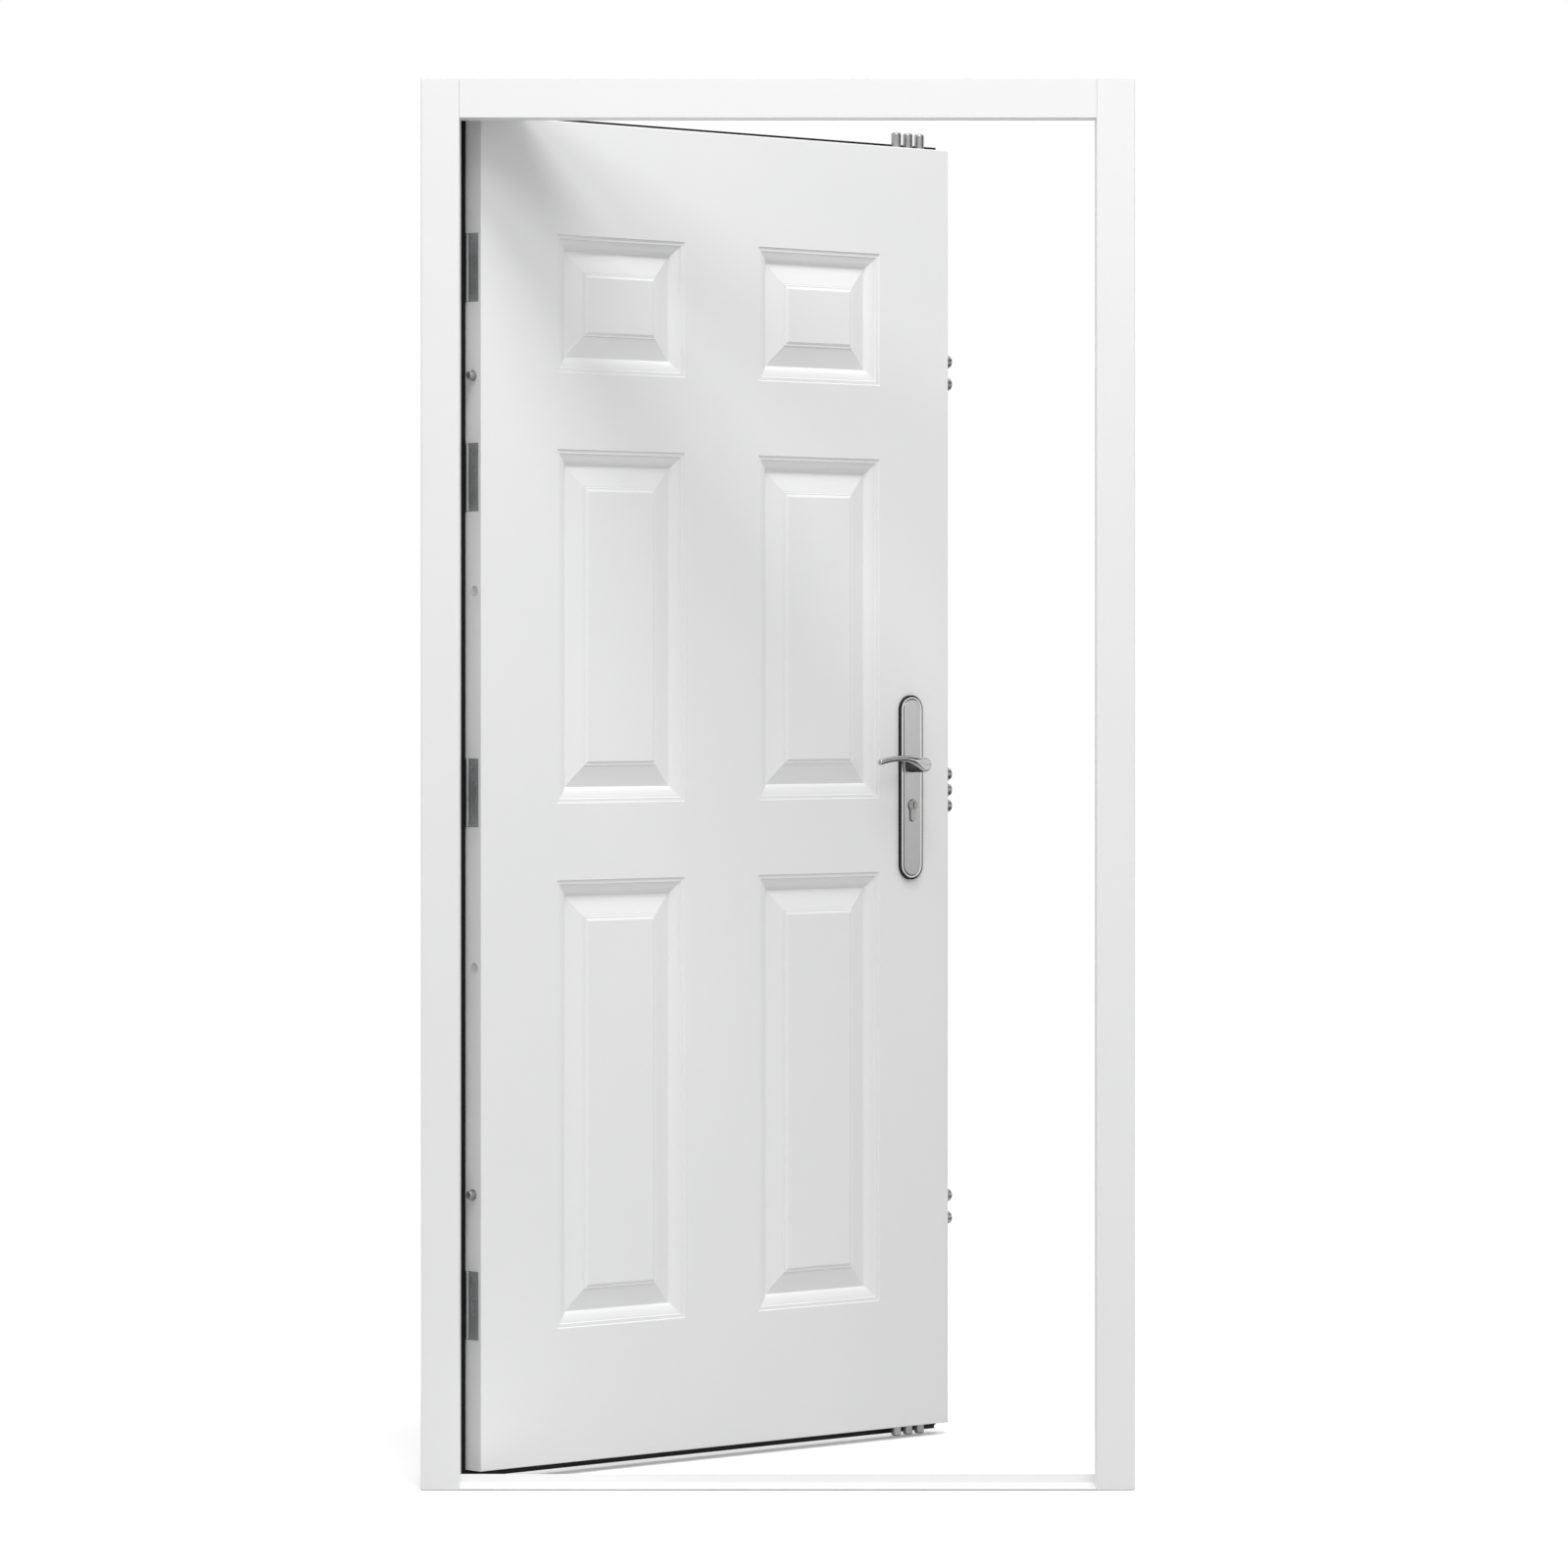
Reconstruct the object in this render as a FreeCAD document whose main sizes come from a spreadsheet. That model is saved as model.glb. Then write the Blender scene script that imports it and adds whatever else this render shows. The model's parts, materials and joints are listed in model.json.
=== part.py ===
import FreeCAD, Part
import os
import Sketcher

# Six-panel steel door in its frame, opened 42 degrees away from the viewer.
# Frame axes: +X towards the lock side, +Y towards the inside, +Z up, in millimetres.
# The origin is the middle of the threshold's underside.
# Door leaf axes: X from the hinge edge, Y from the outer face inwards, Z up from the floor.

doc = FreeCAD.newDocument("steel_door")
ORIGIN = FreeCAD.Vector(0, 0, 0)
AXIS_X = FreeCAD.Vector(1, 0, 0)
AXIS_Y = FreeCAD.Vector(0, 1, 0)
AXIS_Z = FreeCAD.Vector(0, 0, 1)

# Driving dimensions
dimensions = {
    # The frame
    "frame_width": 1020,
    "frame_height": 2015,
    "frame_depth": 105,
    "face_width": 55,
    "stop_depth": 53,
    "side_rebate": 17,
    "head_rebate": 18,
    "frame_sheet": 2,
    "threshold_height": 16.5,
    "threshold_bend": 3,
    "fixing_radius": 6,
    "fixing_first_height": 130,
    "fixing_count": 4,
    "fixing_top_gap": 175,
    "fixing_from_back": 17,
    # The door leaf
    "open_angle": 42.08,
    "stop_gap": 5,
    "side_overlap": 9,
    "head_overlap": 10,
    "leaf_underside": 17,
    "leaf_thickness": 45,
    "back_rim": 6,
    "leaf_sheet": 1.2,
    "pan_depth": 14,
    "core_edge_gap": 12,
    "lock_stile_core_gap": 108,
    # The pressed panels
    "hinge_stile": 143,
    "middle_stile": 147,
    "lock_stile": 144,
    "top_rail": 165,
    "upper_rail": 112,
    "lock_rail": 112,
    "bottom_rail": 196,
    "top_panel_height": 200.5,
    "middle_panel_height": 515.3,
    "rim_inset": 0.6,
    "rim_depth": 1.3,
    "bead_inset": 6.4,
    "bead_depth": 2.6,
    "ovolo_inset": 7,
    "ovolo_middle_inset": 18.5,
    "ovolo_middle_depth": 6.8,
    "valley_inset": 22.5,
    "valley_depth": 12,
    "slope_inset": 23.5,
    "slope_middle_inset": 38,
    "slope_middle_depth": 9.9,
    "slope_end_inset": 52.5,
    "slope_end_depth": 5,
    "field_ring_inset": 54.6,
    "field_ring_depth": 3.4,
    "field_inset": 60.4,
    "field_depth": 2,
    # The seal and the strip under the leaf
    "seal_front": 35,
    "seal_thickness": 4,
    "seal_reach": 7.2,
    "strip_thickness": 2,
    "strip_reach": 12.9,
    # The hinges
    "pin_outset": 1,
    "pin_depth": 55.6,
    "pin_radius": 3.5,
    "pin_clearance": 0.1,
    "pin_head_radius": 4.5,
    "pin_head_height": 2,
    "knuckle_radius": 7,
    "knuckle_gap": 0.4,
    "knuckle_count": 5,
    "hinge_height": 98.5,
    "hinge_plate": 3,
    "hinge_plate_front": 6.7,
    "seat_clearance": 0.25,
    "bottom_hinge_height": 254.5,
    "hinge_spacing": 455,
    "upper_hinge_drop": 521,
    "top_hinge_drop": 218.5,
    # Fixed dog bolts and plugged holes in the hinge edge
    "dog_bolt_depth": 18,
    "dog_bolt_radius": 6.25,
    "dog_bolt_reach": 10,
    "dog_bolt_tip": 1.2,
    "dog_bolt_root": 9,
    "dog_collar_radius": 8,
    "dog_collar_height": 1.6,
    "low_dog_bolt_height": 414.7,
    "high_dog_bolt_drop": 374.4,
    "keep_clearance": 3,
    "plug_depth": 14,
    "plug_radius": 5.8,
    "plug_lip_radius": 7.5,
    "plug_lip_height": 0.8,
    "plug_root": 4,
    "low_plug_height": 742.6,
    "high_plug_drop": 684,
    # The bolts
    "bolt_depth": 20,
    "side_bolt_radius": 10,
    "side_bolt_throw": 19.5,
    "side_bolt_length": 67,
    "bolt_end_round": 2,
    "bolt_clearance": 0.3,
    "bolt_keep_clearance": 2,
    "middle_bolt_drop": 40,
    "middle_bolt_pitch": 24.4,
    "low_bolt_height": 347.1,
    "high_bolt_drop": 340.5,
    "pair_bolt_pitch": 34.6,
    "end_bolt_radius": 7.5,
    "end_bolt_pitch": 24,
    "end_bolt_lock_gap": 67,
    "top_bolt_throw": 24,
    "top_bolt_length": 64,
    "bottom_bolt_throw": 15,
    "bottom_bolt_length": 55,
    "faceplate_width": 24,
    "faceplate_thickness": 3,
    "faceplate_margin": 28,
    # The handle set
    "handle_lock_gap": 82,
    "spindle_height": 1028,
    "spindle_side": 8,
    "spindle_hole_radius": 7,
    "cylinder_spacing": 62,
    "cylinder_head_radius": 8.5,
    "cylinder_tail_width": 10,
    "cylinder_total_height": 33,
    "cylinder_proud": 2.5,
    "cylinder_clearance": 0.3,
    "keyway_width": 2.4,
    "keyway_height": 9,
    "keyway_depth": 6,
    "lock_cutout_margin": 5,
    "plate_drop": 175.5,
    "plate_rise": 105.8,
    "plate_width": 46,
    "plate_rim_height": 5,
    "plate_field_inset": 6.5,
    "plate_height": 7,
    "lever_gap": 0.3,
    "lever_hub_radius": 12,
    "lever_front": 38,
    "lever_hub_round": 3,
    "lever_length": 92,
    "lever_depth": 12,
    "lever_edge_round": 2.5,
    "lever_top_radius": 245,
    "lever_under_radius": 92,
    "lever_tip_rise": 3.9,
    "lever_tip_height": 8.6,
    "lever_tip_slant": 3,
    "lever_root_inset": 2,
    "lever_root_reach": 8,
    "lever_root_drop": 6.3
}
sizes = doc.addObject("Spreadsheet::Sheet", "sizes")
for row, (alias, number) in enumerate(dimensions.items(), 1):
    sizes.set("A" + str(row), alias)
    sizes.set("B" + str(row), str(number))
    sizes.setAlias("B" + str(row), alias)
doc.recompute()

# Places worked out from the driving dimensions
places = doc.addObject("Spreadsheet::Sheet", "places")
place_row = 0


def place(alias, formula):
    global place_row
    place_row = place_row + 1
    places.set("A" + str(place_row), alias)
    places.set("B" + str(place_row), "=" + formula)
    places.setAlias("B" + str(place_row), alias)
    doc.recompute()


place("front_plane", "-sizes.stop_depth / 2")
place("stop_plane", "sizes.stop_depth / 2")
place("back_plane", "places.front_plane + sizes.frame_depth")
place("outer_side", "sizes.frame_width / 2")
place("stop_side", "places.outer_side - sizes.face_width")
place("rebate_side", "places.stop_side + sizes.side_rebate")
place("stop_head", "sizes.frame_height - sizes.face_width")
place("rebate_head", "places.stop_head + sizes.head_rebate")
place("leaf_width", "2 * (places.stop_side + sizes.side_overlap)")
place("leaf_top", "places.stop_head + sizes.head_overlap")
place("leaf_height", "places.leaf_top - sizes.leaf_underside")
place("pin_x", "-places.leaf_width / 2 - sizes.pin_outset")
place("pin_y", "places.stop_plane + sizes.stop_gap + sizes.pin_depth")
place("leaf_x", "places.pin_x + cos(sizes.open_angle) * sizes.pin_outset"
      " + sin(sizes.open_angle) * sizes.pin_depth")
place("leaf_y", "places.pin_y + sin(sizes.open_angle) * sizes.pin_outset"
      " - cos(sizes.open_angle) * sizes.pin_depth")
place("panel_width", "(places.leaf_width - sizes.hinge_stile - sizes.middle_stile"
      " - sizes.lock_stile) / 2")
place("lock_panel_left", "sizes.hinge_stile + places.panel_width + sizes.middle_stile")
place("bottom_panel_low", "sizes.leaf_underside + sizes.bottom_rail")
place("top_panel_low", "places.leaf_top - sizes.top_rail - sizes.top_panel_height")
place("middle_panel_low", "places.top_panel_low - sizes.upper_rail - sizes.middle_panel_height")
place("bottom_panel_height", "places.middle_panel_low - sizes.lock_rail - places.bottom_panel_low")
place("rim_plane", "sizes.leaf_thickness - sizes.back_rim")
place("handle_x", "places.leaf_width - sizes.handle_lock_gap")
place("end_bolt_x", "places.leaf_width - sizes.end_bolt_lock_gap")
place("fixing_pitch", "(sizes.frame_height - sizes.fixing_first_height - sizes.fixing_top_gap)"
      " / (sizes.fixing_count - 1)")
place("fixing_y", "places.back_plane - sizes.fixing_from_back")
place("upper_hinge_height", "places.leaf_top - sizes.upper_hinge_drop")
place("lower_hinge_height", "places.upper_hinge_height - sizes.hinge_spacing")
place("top_hinge_height", "places.leaf_top - sizes.top_hinge_drop")
place("high_dog_bolt_height", "places.leaf_top - sizes.high_dog_bolt_drop")
place("high_plug_height", "places.leaf_top - sizes.high_plug_drop")
place("high_bolt_height", "places.leaf_top - sizes.high_bolt_drop")
place("middle_bolt_height", "sizes.spindle_height - sizes.middle_bolt_drop")
place("cylinder_height", "sizes.spindle_height - sizes.cylinder_spacing")
place("plate_bottom", "sizes.spindle_height - sizes.plate_drop")
place("plate_top", "sizes.spindle_height + sizes.plate_rise")
place("closed_leaf_y", "places.stop_plane + sizes.stop_gap")
place("knuckle_pitch", "(sizes.hinge_height + sizes.knuckle_gap) / sizes.knuckle_count")
place("knuckle_height", "places.knuckle_pitch - sizes.knuckle_gap")
place("cylinder_tail_low", "places.cylinder_height + sizes.cylinder_head_radius"
      " - sizes.cylinder_total_height")


# Building helpers
def bind(thing, name, formula):
    thing.setExpression(name, formula)


def put(thing, x="0", y="0", z="0"):
    bind(thing, "Placement.Base.x", x)
    bind(thing, "Placement.Base.y", y)
    bind(thing, "Placement.Base.z", z)


# Carries a piece from the door leaf's own axes to its place in the open door
def hang(thing):
    put(thing, "places.leaf_x", "places.leaf_y", "0")
    bind(thing, "Placement.Rotation.Angle", "sizes.open_angle")


def make_box(name, x, y, z, length, width, height):
    made = doc.addObject("Part::Box", name)
    bind(made, "Length", length)
    bind(made, "Width", width)
    bind(made, "Height", height)
    put(made, x, y, z)
    return made


# A round bar whose start is at x, y, z and which runs along the given direction
def make_bar(name, radius, length, x, y, z, direction):
    made = doc.addObject("Part::Cylinder", name)
    bind(made, "Radius", radius)
    bind(made, "Height", length)
    made.Placement = FreeCAD.Placement(ORIGIN, FreeCAD.Rotation(AXIS_Z, direction))
    put(made, x, y, z)
    return made


def join(name, pieces):
    made = doc.addObject("Part::MultiFuse", name)
    made.Shapes = pieces
    made.Refine = True
    return made


def cut(name, base, tools):
    made = doc.addObject("Part::Cut", name)
    made.Base = base
    made.Tool = tools[0] if len(tools) == 1 else join(name + "_tools", tools)
    made.Refine = True
    return made


def group(name, pieces):
    made = doc.addObject("Part::Compound", name)
    made.Links = pieces
    return made


def new_body(name):
    return doc.addObject("PartDesign::Body", name)


def new_sketch(body, name, plane, offset="0"):
    sketch = body.newObject("Sketcher::SketchObject", name)
    for feature in body.Origin.OriginFeatures:
        if feature.Role == plane:
            sketch.AttachmentSupport = [(feature, "")]
    sketch.MapMode = "FlatFace"
    bind(sketch, "AttachmentOffset.Base.z", offset)
    return sketch


# The number that a formula gives now
def worth(formula):
    return float(sizes.evalExpression(formula))


# Adds a constraint whose value follows a formula
def add_measure(sketch, kind, *points_and_formula):
    formula = points_and_formula[-1]
    index = sketch.addConstraint(
        Sketcher.Constraint(kind, *points_and_formula[:-1], worth(formula)))
    bind(sketch, "Constraints[" + str(index) + "]", formula)


# Holds the start or end of a line, or a circle's centre, at x, y from the sketch's origin
def fix_point(sketch, line, line_end, corner):
    for kind, formula in zip(("DistanceX", "DistanceY"), corner):
        add_measure(sketch, kind, -1, 1, line, line_end, formula)


def corner_point(corner):
    return FreeCAD.Vector(worth(corner[0]), worth(corner[1]), 0)


# Adds a closed outline of straight lines through the given corners
def add_outline(sketch, corners):
    first = sketch.GeometryCount
    count = len(corners)
    for i in range(count):
        sketch.addGeometry(Part.LineSegment(
            corner_point(corners[i]), corner_point(corners[(i + 1) % count])), False)
    for i in range(count):
        sketch.addConstraint(
            Sketcher.Constraint("Coincident", first + i, 2, first + (i + 1) % count, 1))
    for i, corner in enumerate(corners):
        fix_point(sketch, first + i, 1, corner)


def add_rectangle(sketch, left, low, right, high):
    add_outline(sketch, [(left, low), (right, low), (right, high), (left, high)])


def add_circle(sketch, x, y, radius):
    made = sketch.addGeometry(
        Part.Circle(corner_point((x, y)), AXIS_Z, worth(radius)), False)
    fix_point(sketch, made, 3, (x, y))
    add_measure(sketch, "Radius", made, radius)


def pad(body, sketch, name, length, reverse=False, taper=None):
    made = body.newObject("PartDesign::Pad", name)
    made.Profile = sketch
    made.Reversed = reverse
    made.Refine = True
    bind(made, "Length", length)
    if taper:
        bind(made, "TaperAngle", taper)
    return made


def pocket(body, sketch, name, length, reverse=False, taper=None):
    made = body.newObject("PartDesign::Pocket", name)
    made.Profile = sketch
    made.Reversed = reverse
    made.Refine = True
    bind(made, "Length", length)
    if taper:
        bind(made, "TaperAngle", taper)
    return made


subparts = []


def finish(thing, node):
    thing.Label = node
    subparts.append(thing)


# Frame: jambs
def make_jamb(node, side):
    body = new_body(node + "_body")
    section = new_sketch(body, node + "_section", "XY_Plane")
    sign = "1 * " if side > 0 else "-1 * "
    sheet = " + sizes.frame_sheet"
    less = " - sizes.frame_sheet"
    outline = [
        ("places.outer_side", "places.front_plane"),
        ("places.stop_side", "places.front_plane"),
        ("places.stop_side", "places.stop_plane"),
        ("places.rebate_side", "places.stop_plane"),
        ("places.rebate_side", "places.back_plane"),
        ("places.outer_side", "places.back_plane")]
    hollow = [
        ("places.outer_side" + less, "places.front_plane" + sheet),
        ("places.stop_side" + sheet, "places.front_plane" + sheet),
        ("places.stop_side" + sheet, "places.stop_plane" + less),
        ("places.rebate_side" + sheet, "places.stop_plane" + less),
        ("places.rebate_side" + sheet, "places.back_plane" + less),
        ("places.outer_side" + less, "places.back_plane" + less)]
    for loop in (outline, hollow):
        add_outline(section, [(sign + "(" + x + ")", y) for x, y in loop])
    pad(body, section, node + "_length", "sizes.frame_height")
    holes = new_sketch(body, node + "_fixings", "YZ_Plane", sign + "places.outer_side")
    for i in range(int(sizes.fixing_count)):
        add_circle(holes, "places.fixing_y",
                   "sizes.fixing_first_height + " + str(i) + " * places.fixing_pitch",
                   "sizes.fixing_radius")
    pocket(body, holes, node + "_fixing_holes", "sizes.face_width", side < 0)
    return body


hinge_heights = {
    "top": "places.top_hinge_height",
    "upper": "places.upper_hinge_height",
    "lower": "places.lower_hinge_height",
    "bottom": "sizes.bottom_hinge_height"}
dog_bolt_heights = ["sizes.low_dog_bolt_height", "places.high_dog_bolt_height"]
half_pair = "sizes.pair_bolt_pitch / 2"
side_bolt_heights = {
    "upper": ["places.high_bolt_height + " + half_pair, "places.high_bolt_height - " + half_pair],
    "middle": ["places.middle_bolt_height + sizes.middle_bolt_pitch", "places.middle_bolt_height",
               "places.middle_bolt_height - sizes.middle_bolt_pitch"],
    "lower": ["sizes.low_bolt_height + " + half_pair, "sizes.low_bolt_height - " + half_pair]}
end_bolt_places = ["places.end_bolt_x - sizes.end_bolt_pitch", "places.end_bolt_x",
                   "places.end_bolt_x + sizes.end_bolt_pitch"]

hinge_jamb = make_jamb("hinge_jamb", -1)
seats = new_sketch(hinge_jamb, "hinge_seats", "YZ_Plane", "-places.rebate_side")
for height in hinge_heights.values():
    half = " sizes.hinge_height / 2 "
    add_rectangle(
        seats,
        "places.closed_leaf_y + sizes.hinge_plate_front - sizes.seat_clearance",
        height + " -" + half + "- sizes.seat_clearance",
        "places.back_plane + sizes.seat_clearance",
        height + " +" + half + "+ sizes.seat_clearance")
pocket(hinge_jamb, seats, "hinge_seat_cuts", "sizes.hinge_plate + sizes.seat_clearance")
dog_keeps = new_sketch(hinge_jamb, "dog_bolt_keeps", "YZ_Plane", "-places.rebate_side")
for height in dog_bolt_heights:
    add_circle(dog_keeps, "places.closed_leaf_y + sizes.dog_bolt_depth", height,
               "sizes.dog_collar_radius + sizes.keep_clearance")
pocket(hinge_jamb, dog_keeps, "dog_bolt_keep_holes", "2 * sizes.frame_sheet")
finish(hinge_jamb, "hinge_jamb")

lock_jamb = make_jamb("lock_jamb", 1)
keeps = new_sketch(lock_jamb, "side_bolt_keeps", "YZ_Plane", "places.rebate_side")
for heights in side_bolt_heights.values():
    for height in heights:
        add_circle(keeps, "places.closed_leaf_y + sizes.bolt_depth", height,
                   "sizes.side_bolt_radius + sizes.bolt_keep_clearance")
pocket(lock_jamb, keeps, "side_bolt_keep_holes", "2 * sizes.frame_sheet", True)
finish(lock_jamb, "lock_jamb")

# Frame: head, with its rebate part running on to the jambs' rebates
head = new_body("head_body")
head_section = new_sketch(head, "head_section", "YZ_Plane", "-places.rebate_side")
head_corners = [
    ("places.front_plane", "sizes.frame_height"), ("places.front_plane", "places.stop_head"),
    ("places.stop_plane", "places.stop_head"), ("places.stop_plane", "places.rebate_head"),
    ("places.back_plane", "places.rebate_head"), ("places.back_plane", "sizes.frame_height")]
add_outline(head_section, head_corners)
add_outline(head_section, [
    ("places.front_plane + sizes.frame_sheet", "sizes.frame_height - sizes.frame_sheet"),
    ("places.front_plane + sizes.frame_sheet", "places.stop_head + sizes.frame_sheet"),
    ("places.stop_plane - sizes.frame_sheet", "places.stop_head + sizes.frame_sheet"),
    ("places.stop_plane - sizes.frame_sheet", "places.rebate_head + sizes.frame_sheet"),
    ("places.back_plane - sizes.frame_sheet", "places.rebate_head + sizes.frame_sheet"),
    ("places.back_plane - sizes.frame_sheet", "sizes.frame_height - sizes.frame_sheet")])
pad(head, head_section, "head_length", "2 * places.rebate_side")
head_ends = new_sketch(head, "head_ends", "XY_Plane", "sizes.frame_height")
for left, right in (("-places.rebate_side", "-places.stop_side"),
                    ("places.stop_side", "places.rebate_side")):
    add_rectangle(head_ends, left, "places.front_plane", right, "places.stop_plane")
pocket(head, head_ends, "head_end_cuts", "sizes.face_width")
top_keeps = new_sketch(head, "top_bolt_keeps", "XY_Plane", "places.rebate_head")
for x in end_bolt_places:
    add_circle(top_keeps, x + " - places.leaf_width / 2",
               "places.closed_leaf_y + sizes.bolt_depth",
               "sizes.end_bolt_radius + sizes.bolt_keep_clearance")
pocket(head, top_keeps, "top_bolt_keep_holes", "2 * sizes.frame_sheet", True)
finish(head, "head")

# Frame: threshold, a sheet on the floor between the jambs that is folded up along the stop
threshold = new_body("threshold_body")
threshold_section = new_sketch(threshold, "threshold_section", "YZ_Plane", "-places.stop_side")
riser_front = "places.stop_plane - sizes.frame_sheet"
add_outline(threshold_section, [
    ("places.front_plane", "0"), ("places.stop_plane", "0"),
    ("places.stop_plane", "sizes.threshold_height"), (riser_front, "sizes.threshold_height"),
    (riser_front, "sizes.frame_sheet"), ("places.front_plane", "sizes.frame_sheet")])
threshold_sheet = pad(threshold, threshold_section, "threshold_length", "2 * places.stop_side")
doc.recompute()
fold_edges = []
for i, edge in enumerate(threshold_sheet.Shape.Edges):
    middle = edge.BoundBox.Center
    on_fold = abs(middle.y - worth(riser_front)) < 0.001 and middle.z < worth("2 * sizes.frame_sheet")
    if on_fold and edge.BoundBox.XLength > worth("places.stop_side"):
        fold_edges.append("Edge" + str(i + 1))
fold = threshold.newObject("PartDesign::Fillet", "threshold_fold")
fold.Base = (threshold_sheet, fold_edges)
bind(fold, "Radius", "sizes.threshold_bend")
finish(threshold, "threshold")


# Hinges: five knuckles on one pin, three on the frame's leaf and two on the door's
def make_hinge_leaf(node, height, pin_x, pin_y, plate_x, plate_front, edge, knuckles):
    low = height + " - sizes.hinge_height / 2"
    plate = make_box(node + "_plate", plate_x, plate_front, low,
                     "sizes.hinge_plate", pin_y + " - (" + plate_front + ")",
                     "sizes.hinge_height")
    shank = make_box(node + "_shank", plate_x,
                     edge, low, "max(" + pin_x + " - (" + plate_x + "); sizes.hinge_plate)",
                     pin_y + " - (" + edge + ")", "sizes.hinge_height")
    gaps = []
    for i in range(int(sizes.knuckle_count)):
        if i not in knuckles:
            gaps.append(make_box(
                node + "_gap_" + str(i), pin_x + " - sizes.hinge_height",
                pin_y + " - sizes.knuckle_radius - sizes.knuckle_gap",
                low + " - sizes.knuckle_gap + " + str(i) + " * places.knuckle_pitch",
                "2 * sizes.hinge_height", "sizes.hinge_height",
                "places.knuckle_pitch + sizes.knuckle_gap"))
    barrel = make_bar(node + "_barrel", "sizes.knuckle_radius", "sizes.hinge_height",
                      pin_x, pin_y, low, AXIS_Z)
    bore = make_bar(node + "_bore", "sizes.pin_radius + sizes.pin_clearance",
                    "2 * sizes.hinge_height", pin_x, pin_y,
                    height + " - sizes.hinge_height", AXIS_Z)
    return cut(node + "_leaf", join(node + "_blank", [plate, shank, barrel]), gaps + [bore])


for name, height in hinge_heights.items():
    frame_leaf = make_hinge_leaf(
        name + "_frame", height, "places.pin_x", "places.pin_y",
        "-places.rebate_side - sizes.hinge_plate",
        "places.closed_leaf_y + sizes.hinge_plate_front",
        "places.back_plane + sizes.seat_clearance", (0, 2, 4))
    finish(frame_leaf, name + "_hinge_frame_leaf")
    door_leaf = make_hinge_leaf(
        name + "_door", height, "-sizes.pin_outset", "sizes.pin_depth",
        "0", "sizes.hinge_plate_front", "sizes.leaf_thickness + sizes.seat_clearance", (1, 3))
    hang(door_leaf)
    finish(door_leaf, name + "_hinge_door_leaf")

pins = []
for name, height in hinge_heights.items():
    low = height + " - sizes.hinge_height / 2"
    shaft = make_bar(name + "_pin_shaft", "sizes.pin_radius", "sizes.hinge_height",
                     "places.pin_x", "places.pin_y", low, AXIS_Z)
    head_low = height + " + sizes.hinge_height / 2"
    pin_head = make_bar(name + "_pin_head", "sizes.pin_head_radius", "sizes.pin_head_height",
                        "places.pin_x", "places.pin_y", head_low, AXIS_Z)
    pins.append(join(name + "_pin", [shaft, pin_head]))
finish(group("pins", pins), "hinge_pins")


# Door leaf: a pressed skin is its outer form less the same form one sheet further in
panel_columns = ["sizes.hinge_stile", "places.lock_panel_left"]
panel_rows = [
    ("places.bottom_panel_low", "places.bottom_panel_height"),
    ("places.middle_panel_low", "sizes.middle_panel_height"),
    ("places.top_panel_low", "sizes.top_panel_height")]


def panel_sketch(body, name, depth, inset):
    sketch = new_sketch(body, name, "XZ_Plane", "-(" + depth + ")")
    for left in panel_columns:
        for low, height in panel_rows:
            add_rectangle(sketch, left + " + " + inset, low + " + " + inset,
                          left + " + places.panel_width - (" + inset + ")",
                          low + " + " + height + " - (" + inset + ")")
    return sketch


# The taper of a slope that runs in from one inset to the next over a given length
def slope_angle(start_inset, end_inset, length):
    return "-atan((" + end_inset + " - " + start_inset + ") / (" + length + "))"


# One step or slope of the panel moulding, down from the face
def press_down(body, name, shift, start_depth, end_depth, start_inset, end_inset=None):
    sketch = panel_sketch(body, name + "_outline", start_depth, start_inset + " - " + shift)
    length = end_depth + " - " + start_depth
    taper = slope_angle(start_inset, end_inset, length) if end_inset else None
    pocket(body, sketch, name, length, False, taper)


# One step or slope of the panel moulding, back up towards the face
def press_up(body, name, shift, start_depth, end_depth, start_inset, end_inset=None):
    sketch = panel_sketch(body, name + "_outline", start_depth, start_inset + " + " + shift)
    length = start_depth + " - " + end_depth
    taper = slope_angle(start_inset, end_inset, length) if end_inset else None
    pad(body, sketch, name, length, False, taper)


# The block of a door skin with its six panels; shift moves the steps aside by a sheet
def make_pressed_form(node, edge, shift, depth):
    body = new_body(node)
    outline = new_sketch(body, node + "_outline", "XZ_Plane")
    add_rectangle(outline, edge, "sizes.leaf_underside + " + edge,
                  "places.leaf_width - " + edge, "places.leaf_top - " + edge)
    pad(body, outline, node + "_block", depth, True)
    press_down(body, node + "_rim", shift, "0", "sizes.rim_depth", "sizes.rim_inset")
    press_down(body, node + "_bead", shift, "sizes.rim_depth", "sizes.bead_depth",
               "sizes.bead_inset")
    press_down(body, node + "_ovolo", shift, "sizes.bead_depth", "sizes.ovolo_middle_depth",
               "sizes.ovolo_inset", "sizes.ovolo_middle_inset")
    press_down(body, node + "_valley", shift, "sizes.ovolo_middle_depth", "sizes.valley_depth",
               "sizes.ovolo_middle_inset", "sizes.valley_inset")
    press_up(body, node + "_slope", shift, "sizes.valley_depth", "sizes.slope_middle_depth",
             "sizes.slope_inset", "sizes.slope_middle_inset")
    press_up(body, node + "_rise", shift, "sizes.slope_middle_depth", "sizes.slope_end_depth",
             "sizes.slope_middle_inset", "sizes.slope_end_inset")
    press_up(body, node + "_ring", shift, "sizes.slope_end_depth", "sizes.field_ring_depth",
             "sizes.field_ring_inset")
    press_up(body, node + "_field", shift, "sizes.field_ring_depth", "sizes.field_depth",
             "sizes.field_inset")
    return body


outer_form = make_pressed_form("outer_form", "0", "0", "places.rim_plane")
outer_hollow = make_pressed_form("outer_hollow", "sizes.leaf_sheet", "sizes.leaf_sheet",
                                 "places.rim_plane")
put(outer_hollow, "0", "sizes.leaf_sheet", "0")

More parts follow.
